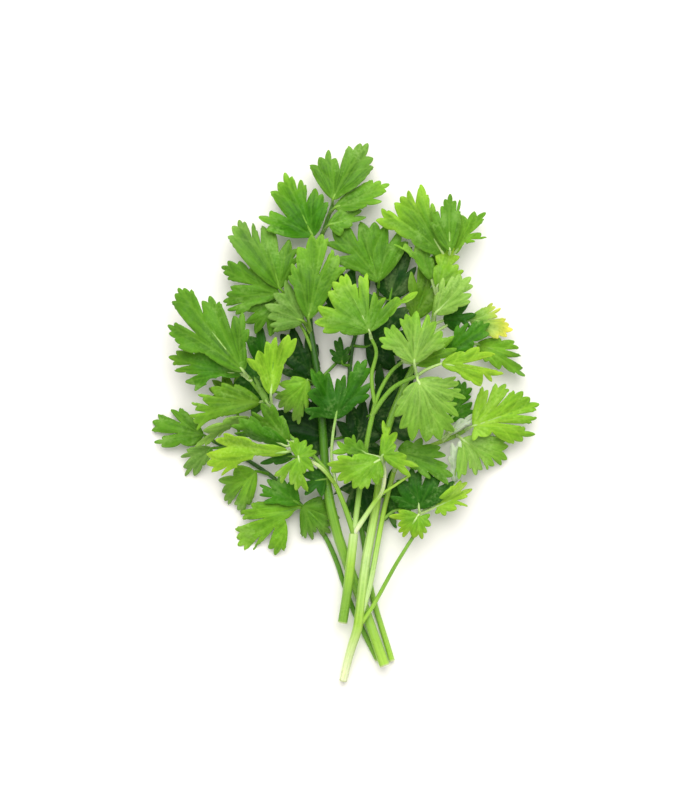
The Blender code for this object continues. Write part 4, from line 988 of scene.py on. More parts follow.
class Graph:
    """Adds nodes to a tree, sets their inputs and links them."""

    def __init__(self, tree: bpy.types.NodeTree) -> None:
        """Works on the given tree."""
        self.tree = tree

    def add(self, kind: str, inputs: dict | None = None, **settings: Any) -> bpy.types.Node:
        """Adds a node.

        Args:
            kind: the node's type.
            inputs: for each input, by name or number, a value or the socket that feeds it.
            settings: the node's own properties.

        Returns:
            The new node.
        """
        node = self.tree.nodes.new(kind)
        for key, value in settings.items():
            setattr(node, key, value)
        for key, value in (inputs or {}).items():
            if isinstance(value, bpy.types.NodeSocket):
                self.tree.links.new(value, node.inputs[key])
            else:
                node.inputs[key].default_value = value
        return node

    def calc(self, operation: str, *values: Any) -> bpy.types.NodeSocket:
        """The result of a math node on sockets or numbers."""
        return self.add("ShaderNodeMath", dict(enumerate(values)), operation=operation).outputs["Value"]

    def spread(self, value: Any, low: Any, high: Any, to_low: float,
               to_high: float) -> bpy.types.NodeSocket:
        """Maps low to high onto another range, softly and without going past it."""
        inputs = {"Value": value, "From Min": low, "From Max": high, "To Min": to_low, "To Max": to_high}
        return self.add("ShaderNodeMapRange", inputs, interpolation_type="SMOOTHSTEP").outputs["Result"]

    def blend(self, share: Any, first: Any, second: Any, mode: str = "MIX") -> bpy.types.NodeSocket:
        """Mixes two colours."""
        inputs = {0: share, 6: first, 7: second}
        return self.add("ShaderNodeMix", inputs, data_type="RGBA", blend_type=mode).outputs[2]

    def tinted(self, color: Any, tint: tuple) -> bpy.types.NodeSocket:
        """A colour times a tint."""
        return self.blend(1.0, color, tint, "MULTIPLY")

    def attribute(self, name: str, kind: str = "Fac") -> bpy.types.NodeSocket:
        """Reads one of the piece's own attributes, as a number, a Color or a Vector."""
        return self.add("ShaderNodeAttribute", attribute_name=name).outputs[kind]

    def shared(self, tree: bpy.types.NodeTree, inputs: dict | None = None) -> bpy.types.NodeSocket:
        """The result of a shared group of nodes."""
        return self.add("ShaderNodeGroup", inputs, node_tree=tree).outputs[0]

    def link(self, value: bpy.types.NodeSocket, to: bpy.types.NodeSocket) -> None:
        """Links an output to an input."""
        self.tree.links.new(value, to)

    def noise(self, where: Any, scale: Any, detail: float = 2.0,
              distortion: float = 0.0) -> bpy.types.NodeSocket:
        """Smooth noise from 0 to 1."""
        inputs = {"Vector": where, "Scale": scale, "Detail": detail, "Distortion": distortion}
        return self.add("ShaderNodeTexNoise", inputs).outputs["Fac"]


def new_group(name: str, inputs: list[tuple], outputs: list[tuple]) -> tuple:
    """Starts a shader node group.

    Args:
        name: the group's name.
        inputs: for each input its name, its socket type and the value it starts with.
        outputs: for each output its name and its socket type.

    Returns:
        The group's tree, its graph, its input node and its output node.
    """
    tree = bpy.data.node_groups.new(name, "ShaderNodeTree")
    for label, kind, value in inputs:
        tree.interface.new_socket(label, in_out="INPUT", socket_type=kind).default_value = value
    for label, kind in outputs:
        tree.interface.new_socket(label, in_out="OUTPUT", socket_type=kind)
    graph = Graph(tree)
    return tree, graph, graph.add("NodeGroupInput"), graph.add("NodeGroupOutput")


class PlantShades:
    """The shader groups that leaflets and stems share."""

    def __init__(self) -> None:
        """Builds each group once."""
        self.uneven = self.uneven_tone()
        self.streaks = self.fine_streaks()
        self.net = self.veinlet_net()

    @staticmethod
    def uneven_tone() -> bpy.types.NodeTree:
        """Broad patches and fine mottling, as one mask around a half."""
        tree, graph, given, result = new_group(
            "uneven_tone",
            [("Patch Scale", "NodeSocketFloat", 80.0), ("Mottle Scale", "NodeSocketFloat", 900.0),
             ("Mottle Share", "NodeSocketFloat", 0.35)],
            [("Mask", "NodeSocketFloat")],
        )
        where = graph.add("ShaderNodeTexCoord").outputs["Object"]
        patch = graph.noise(where, given.outputs["Patch Scale"], 3.0, 0.3)
        mottle = graph.noise(where, given.outputs["Mottle Scale"], 3.0)
        mixed = graph.add("ShaderNodeMix", {0: given.outputs["Mottle Share"], 2: patch, 3: mottle})
        graph.link(graph.spread(mixed.outputs[0], 0.3, 0.7, 0.0, 1.0), result.inputs["Mask"])
        return tree

    @staticmethod
    def fine_streaks() -> bpy.types.NodeTree:
        """Fine lines along one direction, from a place whose X runs across them and whose Y runs along."""
        tree, graph, given, result = new_group(
            "fine_streaks",
            [("Place", "NodeSocketVector", (0, 0, 0)), ("Lines", "NodeSocketFloat", 30.0),
             ("Stretch", "NodeSocketFloat", 3.0), ("Sharpness", "NodeSocketFloat", 0.2)],
            [("Mask", "NodeSocketFloat")],
        )
        parts = graph.add("ShaderNodeSeparateXYZ", {0: given.outputs["Place"]})
        across = graph.calc("MULTIPLY", parts.outputs[0], given.outputs["Lines"])
        along = graph.calc("MULTIPLY", parts.outputs[1], given.outputs["Stretch"])
        where = graph.add("ShaderNodeCombineXYZ", {0: across, 1: along, 2: parts.outputs[2]}).outputs[0]
        value = graph.noise(where, 1.0, 4.0, 0.2)
        low = graph.calc("SUBTRACT", 0.5, given.outputs["Sharpness"])
        high = graph.calc("ADD", 0.5, given.outputs["Sharpness"])
        graph.link(graph.spread(value, low, high, 0.0, 1.0), result.inputs["Mask"])
        return tree

    @staticmethod
    def veinlet_net() -> bpy.types.NodeTree:
        """The finest net of veins, as thin lines between small uneven cells."""
        tree, graph, given, result = new_group(
            "veinlet_net",
            [("Scale", "NodeSocketFloat", 700.0), ("Width", "NodeSocketFloat", 0.12)],
            [("Mask", "NodeSocketFloat")],
        )
        where = graph.add("ShaderNodeTexCoord").outputs["Object"]
        clouds = {"Vector": where, "Scale": 500.0, "Detail": 1.0}
        shift = graph.add("ShaderNodeTexNoise", clouds).outputs["Color"]
        steps = {0: shift, 1: (0.0016, 0.0016, 0.0016), 2: where}
        moved = graph.add("ShaderNodeVectorMath", steps, operation="MULTIPLY_ADD").outputs["Vector"]
        cells = {"Vector": moved, "Scale": given.outputs["Scale"]}
        cells = graph.add("ShaderNodeTexVoronoi", cells, feature="DISTANCE_TO_EDGE")
        line = graph.spread(cells.outputs["Distance"], 0.0, given.outputs["Width"], 1.0, 0.0)
        graph.link(line, result.inputs["Mask"])
        return tree


@dataclass(frozen=True)
class PlantFinish:
    """What the finishes of leaflets and stems share: a green skin that lets some light in."""

    name: str
    roughness: float = 0.4
    relief: float = 0.5
    relief_depth: float = 0.0002
    glow: float = 0.1
    glow_color: tuple = (1.0, 1.0, 0.4)
    glow_depth: float = 0.001
    shine: float = 0.1

    def start(self) -> tuple[bpy.types.Material, Graph, bpy.types.Node]:
        """A new material, the graph of its nodes, and its shader with the finish's constants set."""
        material = bpy.data.materials.new(self.name)
        material.use_nodes = True
        shader = material.node_tree.nodes["Principled BSDF"]
        shader.inputs["Subsurface Weight"].default_value = self.glow
        shader.inputs["Subsurface Radius"].default_value = self.glow_color
        shader.inputs["Subsurface Scale"].default_value = self.glow_depth
        shader.inputs["Specular IOR Level"].default_value = self.shine
        return material, Graph(material.node_tree), shader

    def dress(self, graph: Graph, shader: bpy.types.Node, color: Any, rough: Any, height: Any) -> None:
        """Gives the shader what changes over the surface.

        Args:
            graph: the graph of the material's nodes.
            shader: the material's shader.
            color: the colour.
            rough: the roughness.
            height: the fine relief, which becomes a bump.
        """
        lift = {"Height": height, "Strength": self.relief, "Distance": self.relief_depth}
        bump = graph.add("ShaderNodeBump", lift).outputs["Normal"]
        for name, value in (("Base Color", color), ("Roughness", rough), ("Normal", bump)):
            graph.link(value, shader.inputs[name])


@dataclass(frozen=True)
class BladeFinish(PlantFinish):
    """The finish of one stalk's leaflets: soft green, paler along veins and edges, duller underneath, with
    painted sheen in pale patches.
    """

    roughness: float = 0.46
    glow: float = 0.12
    glow_color: tuple = (0.8, 1.0, 0.3)
    glow_depth: float = 0.0012
    shine: float = 0.12
    deepen: float = 0.42
    patch_scale: float = 60.0
    grain_scale: float = 1700.0
    pale_veins: float = 0.34
    pale_edge: float = 0.22
    streak_share: float = 0.36
    sheen_share: float = 0.34
    under_share: float = 0.85
    streak_tint: tuple = (1.62, 1.32, 1.5, 1.0)
    vein_tint: tuple = (2.0, 1.5, 2.4, 1.0)
    vein_color: tuple = (0.40, 0.52, 0.16, 1.0)
    # The tint and colour of the painted sheen, a highlight put into the base colour.
    sheen_tint: tuple = (1.9, 1.55, 2.6, 1.0)
    sheen_color: tuple = (0.42, 0.55, 0.22, 1.0)
    under_color: tuple = (0.15, 0.25, 0.07, 1.0)

    def material(self, shades: PlantShades) -> bpy.types.Material:
        """Builds the material.

        Args:
            shades: the shader groups that the finish uses.

        Returns:
            A material that reads the leaflets' own attributes.
        """
        material, graph, shader = self.start()
        tone, radial = graph.attribute("tone", "Color"), graph.attribute("radial", "Vector")
        vein, edge, under = (graph.attribute(name) for name in ("vein", "edge", "under"))
        uneven = graph.shared(shades.uneven, {"Patch Scale": self.patch_scale})
        net = graph.shared(shades.net)
        fine = {"Place": radial, "Lines": 22.0, "Stretch": 2.6}
        fan = {"Place": radial, "Lines": 5.5, "Stretch": 1.6, "Sharpness": 0.16}
        wide = {"Place": radial, "Lines": 3.2, "Stretch": 3.4, "Sharpness": 0.12}
        streaks, bands, sheen = (graph.shared(shades.streaks, kind) for kind in (fine, fan, wide))
        brush = graph.calc("MULTIPLY", streaks, self.streak_share)
        shade = graph.calc("MULTIPLY", graph.calc("ADD", uneven, bands), 0.5)
        deep = graph.tinted(tone, (self.deepen * 0.86, self.deepen, self.deepen * 0.8, 1.0))
        color = graph.blend(shade, deep, tone)
        color = graph.blend(brush, color, graph.tinted(tone, self.streak_tint))
        pale = graph.blend(0.12, graph.tinted(tone, self.vein_tint), self.vein_color)
        lines = graph.calc("MAXIMUM", graph.calc("MULTIPLY", vein, self.pale_veins),
                           graph.calc("MULTIPLY", net, self.pale_veins * 0.2))
        color = graph.blend(lines, color, pale)
        # Painted sheen: pale patches where wide streaks meet broad patches, standing for the soft highlight
        # of the light on the blades.
        broad = graph.spread(uneven, 0.45, 0.9, 0.0, self.sheen_share)
        painted_sheen = graph.blend(0.5, graph.tinted(tone, self.sheen_tint), self.sheen_color)
        color = graph.blend(graph.calc("MULTIPLY", sheen, broad), color, painted_sheen)
        color = graph.blend(graph.calc("MULTIPLY", edge, self.pale_edge), color, pale)
        dull = graph.blend(0.5, color, self.under_color)
        color = graph.blend(graph.calc("MULTIPLY", under, self.under_share), color, dull)
        rough = graph.spread(uneven, 0.0, 1.0, self.roughness - 0.06, self.roughness + 0.08)
        rough = graph.calc("MULTIPLY_ADD", under, 0.14, rough)
        grain = graph.noise(graph.add("ShaderNodeTexCoord").outputs["Object"], self.grain_scale, 2.0)
        height = graph.calc("MULTIPLY_ADD", net, -0.25, graph.calc("MULTIPLY", grain, 0.5))
        height = graph.calc("MULTIPLY_ADD", brush, 0.5, height)
        height = graph.calc("MULTIPLY_ADD", vein, -0.4, height)
        self.dress(graph, shader, color, rough, height)
        return material


@dataclass(frozen=True)
class StemFinish(PlantFinish):
    """The finish of the stems: pale ridges with green between them, juicy and slightly glossy."""

    roughness: float = 0.3
    relief: float = 0.4
    relief_depth: float = 0.00015
    glow: float = 0.25
    glow_color: tuple = (1.0, 1.2, 0.4)
    glow_depth: float = 0.0015
    shine: float = 0.3
    patch_scale: float = 70.0
    ridges: int = 6
    ridge_share: float = 0.55
    ridge_tint: tuple = (1.5, 1.3, 1.9, 1.0)
    deep_tint: tuple = (0.62, 0.74, 0.5, 1.0)
    cut_color: tuple = (0.50, 0.56, 0.30, 1.0)
    cut_reach: tuple = (0.2, 0.9)

    def material(self, shades: PlantShades) -> bpy.types.Material:
        """Builds the material.

        Args:
            shades: the shader groups that the finish uses.

        Returns:
            A material that reads the stems' own attributes.
        """
        material, graph, shader = self.start()
        tone, run = graph.attribute("tone", "Color"), graph.attribute("run")
        angle = graph.calc("MULTIPLY", graph.attribute("around"), 2 * math.pi)
        along = graph.calc("MULTIPLY", run, 0.02)
        ring = {0: graph.calc("COSINE", angle), 1: along, 2: graph.calc("SINE", angle)}
        place = graph.add("ShaderNodeCombineXYZ", ring).outputs[0]
        streaks = graph.shared(shades.streaks, {"Place": place, "Lines": 2.6, "Stretch": 2.0})
        uneven = graph.shared(shades.uneven, {"Patch Scale": self.patch_scale})
        ridge = graph.calc("COSINE", graph.calc("MULTIPLY", angle, self.ridges))
        ridge = graph.calc("MULTIPLY_ADD", ridge, 0.5, 0.5)
        color = graph.blend(uneven, graph.tinted(tone, self.deep_tint), tone)
        shine = graph.calc("MULTIPLY", graph.calc("MAXIMUM", ridge, streaks), self.ridge_share)
        color = graph.blend(shine, color, graph.tinted(tone, self.ridge_tint))
        color = graph.blend(graph.spread(run, *self.cut_reach, 1.0, 0.0), color, self.cut_color)
        rough = graph.spread(uneven, 0.0, 1.0, self.roughness - 0.05, self.roughness + 0.08)
        height = graph.calc("MULTIPLY_ADD", streaks, 0.6, graph.calc("MULTIPLY", ridge, 0.4))
        self.dress(graph, shader, color, rough, height)
        return material


@dataclass
class Stalk:
    """A cut stalk with its stems and leaflets, which takes the place of one plain solid."""

    name: str
    node: str
    petiole: Tone
    rib_share: float = 0.6
    petiole_end: float = 0.75
    rib_radius: float = 0.5
    rib_end: float = 0.12
    tube_sides: int = 18
    tube_ridges: int = 6
    ridge_depth: float = 0.05
    blades: list[Blade] = field(default_factory=list)
    tubes: list[Tube] = field(default_factory=list)

    def plans(self) -> list[StemPlan | LeafletPlan]:
        """The stalk's stems and leaflets, in the order in which they are laid."""
        raise NotImplementedError

    def lay(self, heap: Heap) -> None:
        """Lays the stalk on the heap and notes its blades and tubes.

        Args:
            heap: what lies below.
        """
        stems: list = []
        for number, plan in enumerate(self.plans()):
            if isinstance(plan, StemPlan):
                line, heights, radius = lay_stem(heap, plan, stems)
                heap.add_stem(line, heights, radius)
                tube = Tube(*thinned(line, heights, radius, STEM_SPACING), plan.tones)
                self.tubes.append(tube.rooted() if stems else tube)
                stems.append((line, heights, radius))
            else:
                route, heights, form = lay_leaflet(heap, plan, stems, number)
                heap.add_blade(form.solid_outline(), form.height)
                heap.add_stem(route, heights, np.full(len(route), plan.radius))
                blade = Blade(form, seed=len(self.blades) + 100 * len(self.name))
                self.blades.append(blade)
                self.tubes += self.petiole_tubes(plan, route, heights, blade)
        heap.finish_stalk()

    def petiole_tubes(self, plan: LeafletPlan, route: np.ndarray, heights: np.ndarray,
                      blade: Blade) -> list[Tube]:
        """The leaflet's petiole, which runs on below the blade as its midrib.

        Args:
            plan: the leaflet.
            route: the petiole's line in the plan.
            heights: its heights.
            blade: the leaflet's blade.

        Returns:
            One tube, or two where the midrib turns sharply off the petiole.
        """
        form = blade.form
        line, tops, _ = thinned(route, heights, heights, PETIOLE_SPACING)
        tops = tops.copy()
        tops[-1] = form.height(form.base[None, :])[0] - RIB_DROP
        vein = blade.middle_vein()
        pick = np.arange(4, max(6, int(len(vein) * self.rib_share)), 4)
        rib = vein[pick[pick < len(vein)]]
        rib_radius = np.linspace(self.rib_radius, self.rib_end, len(rib))
        rib_heights = form.height(rib) - 0.5 * BLADE_THICK - 0.6 * rib_radius
        radius = np.linspace(plan.radius, self.petiole_end * plan.radius, len(line))
        arrival = line[-1] - line[-2]
        tones = (self.petiole, self.petiole, Tone.FRESH)
        turns_off = arrival @ form.along <= SHARP_TURN * np.linalg.norm(arrival)
        first = -1 if turns_off else 0
        rows = [np.append(tops[first:], rib_heights), np.append(radius[first:], rib_radius)]
        tubes = [Tube(np.vstack([line[first:], rib]), *rows, tones).rooted()]
        return [Tube(line, tops, radius, tones).rooted()] + tubes if turns_off else tubes

    def build(self, heap: Heap, sweep: StemSweep, finish: bpy.types.Material) -> None:
        """Builds the stalk's two pieces and gives them their places and finishes.

        Args:
            heap: what lies below.
            sweep: what sweeps the stems' profile.
            finish: the leaflets' material.
        """
        self.lay(heap)
        profile = (self.tube_sides, self.tube_ridges, self.ridge_depth)
        stems = sweep.sweep(self.name + "_stems", self.tubes, *profile)
        leaves = self.leaf_piece(finish)
        for piece, slot in ((stems, "stem_pale_green"), (leaves, self.node + "_green")):
            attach(piece, BODY)
            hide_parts(self.node)
        counts = [sum(len(face.vertices) - 2 for face in piece.data.polygons) for piece in (leaves, stems)]
        log.info("%s: %d leaflets in %d triangles, stems in %d", self.name, len(self.blades), *counts)

    def leaf_piece(self, finish: bpy.types.Material) -> bpy.types.Object:
        """All the stalk's blades as one object.

        Args:
            finish: their material.

        Returns:
            The object, with the blades' marks as attributes.
        """
        shells = [blade.shell() for blade in self.blades]
        offsets = np.cumsum([0] + [len(shell["vertices"]) for shell in shells[:-1]])
        vertices = np.vstack([shell["vertices"] for shell in shells]) * MM
        triangles = np.vstack([shell["triangles"] + offset for shell, offset in zip(shells, offsets)])
        mesh = bpy.data.meshes.new(self.name + "_leaves")
        mesh.from_pydata(vertices.tolist(), [], triangles.tolist())
        for mark in ("tone", "vein", "edge", "under", "radial"):
            set_attribute(mesh, mark, np.concatenate([shell[mark] for shell in shells]))
        mesh.shade_smooth()
        mesh.materials.append(finish)
        return new_object(mesh.name, mesh)


@dataclass
class LeftStalk(Stalk):
    """The thin dark stalk whose leaves spread to the lower left."""

    def plans(self) -> list[StemPlan | LeafletPlan]:
        """The stalk's stems and leaflets, in the order in which they are laid."""
        return [
            stem("GREEN DARK DARK DARK SHADE SHADE", [(13.2, -99.3), (8.3, -89.5), (4.2, -81), (0, -70),
                (-4, -58), (-9, -48), (-18, -36.5), (-28, -26.5), (-34, -22), (-41, -17.5), (-48, -13.5),
                (-53, -11)], (1.05, 0.7), stiff=12),
            leaf("LEAF", [(-53, -11), (-57, -8.5)], [[(-66.3, 2.5), (-70.3, 1.9)], [(-75.3, 0), (-77.6, -3),
                (-77.8, -6.9)], [(-73.5, -9.3), (-76.8, -11.4), (-73.8, -13.3), (-61, -12.9)]],
                [(-67.2, -3), (-68, -7.8)], rise=1.5),
            leaf("GREY", [(-48, -13.5), (-53.5, -13.8)], [[(-63.5, -14.2), (-66, -17.3)], [(-65.2, -21.5),
                (-64.4, -25)], [(-60.8, -25.4), (-56, -20.3)]], [(-63, -17.8), (-62.2, -22.8)], droop=0.5),
            leaf("OLIVE", [(-41, -17.5), (-43, -6), (-43, 3)], [[(-54, 6.5), (-54.8, 10.5)], [(-53.5, 13.5),
                (-48.5, 16.8)], [(-43, 17), (-38.5, 14)]], droop=0.2),
            leaf("FRESH GREY", [(-31, -24), (-36, -23)], [[(-43.5, -20.5), (-50.8, -26.5), (-49.6, -31.5),
                (-48.6, -35), (-47.1, -36.9)], [(-44.7, -36.8), (-43.3, -38.8), (-41.7, -40.7),
                (-38, -36.5)]], [(-41.6, -29.6)], droop=0.4),
            leaf("LEAF GREY", [(-9, -48), (-14, -41), (-17, -36.8)], [[(-17.3, -49.2), (-15.9, -50)],
                [(-13, -50.7), (-11.6, -47.6)], [(-8.6, -49.8), (-5.6, -48), (-5.6, -44.6)], [(-2.2, -42),
                (-3.2, -38)], [(-4.5, -34.4), (-9.5, -33)]], [(-15, -48.4), (-10.8, -46.3), (-6, -43.2),
                (-6.5, -37)], droop=0.4, fold=0.06),
            leaf("FRESH", [(-14, -41), (-17.5, -37.3)], [[(-37.5, -36), (-41.8, -39.5), (-41.2, -42.4)],
                [(-44.3, -46.2), (-43.7, -50), (-43.3, -53), (-40.4, -55)], [(-37, -55), (-34.3, -52.5)],
                [(-31, -54.3), (-28.3, -57), (-24.4, -55)], [(-19.6, -38.6)]], [(-34, -42.4), (-36, -50),
                (-29.6, -46.6), (-25, -43)], droop=0.5, fold=0.05),
            leaf("MOSS", [(-16, -39), (-18.5, -35.8)], [[(-21, -26.5), (-26.5, -25), (-31.3, -26.3)],
                [(-34.2, -28.3), (-33.2, -30.4), (-34.3, -32.5)], [(-32.6, -35.4), (-27, -36)]],
                [(-31, -29), (-30.8, -33)], rise=3, droop=0.25, fold=0.14),
        ]


@dataclass
class RightStalk(Stalk):
    """The thin dark stalk that fills the shaded middle of the bunch, its leaflets mostly in the darkest
    greens as painted shade.
    """

    def plans(self) -> list[StemPlan | LeafletPlan]:
        """The stalk's stems and leaflets, in the order in which they are laid."""
        return [
            stem("LIME GREEN DARK SHADE SHADE SHADE SHADE", [(18.9, -99.6), (16, -90), (12.3, -78),
                (9.6, -66), (8, -54), (5.5, -40), (2.5, -22), (1.2, -5), (1.6, 12), (3, 27), (7, 39),
                (13, 47)], (1.15, 0.75), stiff=12),
            leaf("DEEP", [(3, 27), (-4, 20), (-12, 12)], [[(-21, 13), (-27, 18)], [(-28, 25), (-26, 32),
                (-21, 35.5)], [(-15, 34), (-11, 28), (-10, 20)]], [(-22, 18.5), (-17, 28)], rise=1,
                droop=0.15),
            leaf("DARK", [(1.4, 4), (-10, 6), (-22, 7.5), (-28, 9)], [[(-27, 19), (-27.5, 29)], [(-34, 37),
                (-40, 31)], [(-44, 22), (-44.5, 12)], [(-43, 4), (-37, -1)]], [(-31, 25), (-38, 24),
                (-38, 8)], rise=1, droop=0.2),
            leaf("DEEP", [(1.2, -8), (-4, -10)], [[(-13, -18), (-21, -15.5)], [(-28.5, -7), (-27, 1.5)],
                [(-20, 8), (-11, 7)], [(-6, 2)]], [(-21, -10), (-21, 1), (-9, 2)], rise=1, droop=0.2),
            leaf("DEEP", [(2.2, -16), (3.6, -14)], [[(10, -17.5), (16, -16)], [(17.5, -6), (15, 3.5)],
                [(8, 6), (1.5, 4)], [(-3.5, -3)]], [(13, -11), (10, -1), (0.5, -2.5)], rise=1, droop=0.2),
            leaf("DEEP", [(3, 27), (8, 27)], [[(11, 17), (20, 17.5)], [(29, 25), (29.5, 34)], [(26, 43),
                (18, 46)], [(11.5, 43)]], [(21, 23), (23, 34), (14, 41)], rise=1, droop=0.15),
            leaf("DARK", [(4.5, 31), (0.5, 38)], [[(-9.5, 42), (-9, 50)], [(-4, 59), (3.5, 58.5)],
                [(10, 55), (12, 47)]], [(-5.5, 50), (5, 51.5)], rise=1, droop=0.15),
            leaf("DARK", [(2.2, 20), (0, 22), (-1, 20)], [[(-5.5, 22), (-6, 26)], [(-4.2, 29.5), (-2, 31)],
                [(1.5, 27), (2, 23)]], rise=1, droop=0.2),
            leaf("DEEP", [(13, 47), (18, 46)], [[(12, 52), (11.5, 58)], [(14, 63.5), (18, 67)], [(23, 68.5),
                (27, 67)], [(28.5, 59), (28, 51)]], [(14.5, 57), (20, 61), (25.5, 58)], rise=2, droop=0.15),
            leaf("LEAF", [(13, 47), (13.5, 53)], [[(5, 57), (-1, 58), (-4.5, 62)], [(-8, 68), (-5, 74),
                (0.5, 76.3)], [(6, 77.2), (12, 77), (17, 75.6)], [(22, 73.6), (25.5, 69)]], [(1, 65),
                (4, 71), (18, 70)], rise=4, droop=0.2),
            leaf("OLIVE", [(7, 39), (18, 38), (28, 38)], [[(24, 46), (26.5, 57)], [(31.5, 66), (38, 65)],
                [(39, 54), (37, 44)]], [(29, 54), (35, 52)], rise=1, droop=0.1),
            leaf("DEEP", [(1.2, -5), (6, -2.5), (10, -0.5)], [[(12, 10), (14, 20)], [(22, 22), (28, 19)],
                [(36, 15), (39.5, 8)], [(39, 0), (33, -7)], [(26, -11), (18, -12)]], [(17, 14), (29, 12),
                (33, 3), (27, -4)], rise=1, droop=0.15),
            leaf("DEEP DARK", [(3.4, -28), (4.6, -27)], [[(-4.5, -32), (-1, -31)], [(0.6, -40), (3.6, -42)],
                [(8.6, -48), (12, -46)], [(14, -37), (13, -29.5)]], [(1.4, -33), (5.6, -38), (10.6, -38.5)],
                rise=0, droop=0.2),
            leaf("DARK", [(5.5, -40), (12, -34), (17, -33)], [[(15, -26), (19.5, -22)], [(24, -26),
                (27, -30)], [(26, -36), (22, -40)], [(20.5, -46), (15.5, -43)]], [(19, -28), (23, -32),
                (20, -39)], rise=0, droop=0.25),
        ]


@dataclass
class MiddleStalk(Stalk):
    """The stout stalk that carries the top leaf and the upper left of the bunch."""

    def plans(self) -> list[StemPlan | LeafletPlan]:
        """The stalk's stems and leaflets, in the order in which they are laid."""
        return [
            stem("LIME GREEN GREEN DARK SHADE SHADE SHADE DARK", [(16, -101.2), (11.6, -89), (6.6, -75),
                (1, -60), (-3.6, -46), (-7.3, -28), (-8.8, -8), (-10.2, 10), (-12.3, 24), (-14.2, 37),
                (-14, 48), (-12.3, 59), (-9.7, 70), (-7.4, 77), (-5, 84)], (2.0, 1.9, 1.3, 0.7), rise=2,
                stiff=12),
            leaf("DARK", [(-7.3, -30), (-7.5, -26)], [[(-9, -20.5), (-15, -20.8), (-17.5, -24)],
                [(-18.5, -28), (-16, -32.5)], [(-9, -33)]], [(-14.5, -26.5), (-12, -30)], rise=1,
                droop=0.15),
            leaf("DARK", [(-8, -20), (-16, -18), (-21, -17)], [[(-27, -13.5), (-34, -15.2)], [(-34, -19.8),
                (-27.5, -20.4)]], rise=1, droop=0.1),
            leaf("LEAF", [(-12.3, 24), (-18, 36), (-27, 45.5)], [[(-35, 44.5), (-41.3, 42)], [(-40, 36.5),
                (-36, 32)], [(-30, 31), (-24, 34)]], [(-37.5, 40), (-32, 36)], rise=1, droop=0.25),
            leaf("LEAF", [(-13.4, 31), (-19, 41), (-26.5, 48)], [[(-37, 59), (-42.3, 61.2), (-47, 61.3),
                (-49.6, 59), (-48.7, 56.6), (-47, 54)], [(-45.8, 51.2), (-47.6, 48.2), (-49, 45),
                (-47.8, 43.2)], [(-47.2, 41.6), (-43.5, 39.8), (-36, 43.5)]], [(-38, 52), (-43, 44.2)],
                rise=2, droop=0.3),
            leaf("LEAF GREY", [(-14.2, 37), (-19, 44), (-26, 50)], [[(-46.9, 70.8), (-45.2, 75.2),
                (-42.5, 77.7), (-40.2, 77)], [(-37, 76.5), (-35.4, 73.6)], [(-33.3, 75.6), (-28.5, 74.5)],
                [(-22.3, 69.5), (-18.8, 66)], [(-18.2, 63), (-20, 59.5)]], [(-38.7, 73.2), (-34.6, 70.5),
                (-26.5, 66.5), (-20, 63.6)], rise=3, droop=0.3),
            leaf("MOSS FRESH", [(-12.3, 59), (-13, 66), (-13, 71)], [[(-31.3, 73.2), (-34.5, 79.3),
                (-30, 81.4)], [(-30, 89), (-27, 93), (-24, 96.6), (-21, 95.2)], [(-17.8, 94),
                (-15.6, 91.8)], [(-12, 90.5), (-9, 88), (-6.6, 84.5)]], [(-24.5, 79.5), (-19.9, 92.2),
                (-15.8, 86.5)], rise=2, droop=0.3),
            leaf("LEAF", [(-8.6, 73), (-6.5, 75.5)], [[(-0.5, 82.6), (6.8, 81.7)], [(8.5, 79.3), (3, 75.2),
                (-2, 71)]], [(5, 79.7)], rise=1, droop=0.15),
            leaf("LEAF FRESH", [(-6.4, 80), (-4, 82.5)], [[(10.8, 93.7), (14.2, 93.3), (17.7, 92),
                (16.5, 89)], [(14.9, 85.1), (8.5, 82.6)]], [(13.2, 87)], rise=2, droop=0.3),
            leaf("LEAF GREY", [(-5, 84), (-4.8, 86)], [[(-14.1, 99.4), (-10.4, 102.8), (-6.6, 106.1),
                (-3.6, 102.4)], [(1.2, 107.2), (6, 108.6), (9.4, 108.8), (11.4, 102.6), (11.4, 98.6)]],
                [(-1.8, 99.3)], rise=2, droop=0.35),
            leaf("GREY", [(-14, 36), (-16.5, 37)], [[(-23.5, 53.5), (-28.5, 48)], [(-32, 43.5),
                (-31, 38.5)], [(-30, 35.5), (-28.5, 32.8)]], [(-27.5, 44.5), (-28.5, 37)], rise=3,
                droop=0.2),
            leaf("LEAF FRESH", [(-13.8, 34), (-14.5, 38)], [[(-20.5, 50.5), (-22.6, 55), (-21.2, 60)],
                [(-19, 66.5), (-13.5, 71.4), (-9, 71.8), (-6.5, 70)], [(-5, 65.6), (-2.5, 63.2),
                (0.3, 58.2), (-2, 55.4), (-4.6, 52)]], [(-19.6, 60.5), (-10, 57.5)], rise=4, droop=0.22,
                fold=0.14),
            leaf("FRESH PALER", [(-10.4, 12), (-12, 14), (-15, 13.5)], [[(-21, 15), (-26.5, 12)],
                [(-28.4, 6.5), (-26.6, 2.7), (-24, 0.5)], [(-21, -2.9), (-18.6, -4.2), (-16.9, -1.2)],
                [(-15.4, 1.2), (-13.8, 7)]], [(-24.5, 9.5), (-21.5, 0.5), (-16.6, 3)], rise=4, droop=0.55,
                fold=0.05),
        ]


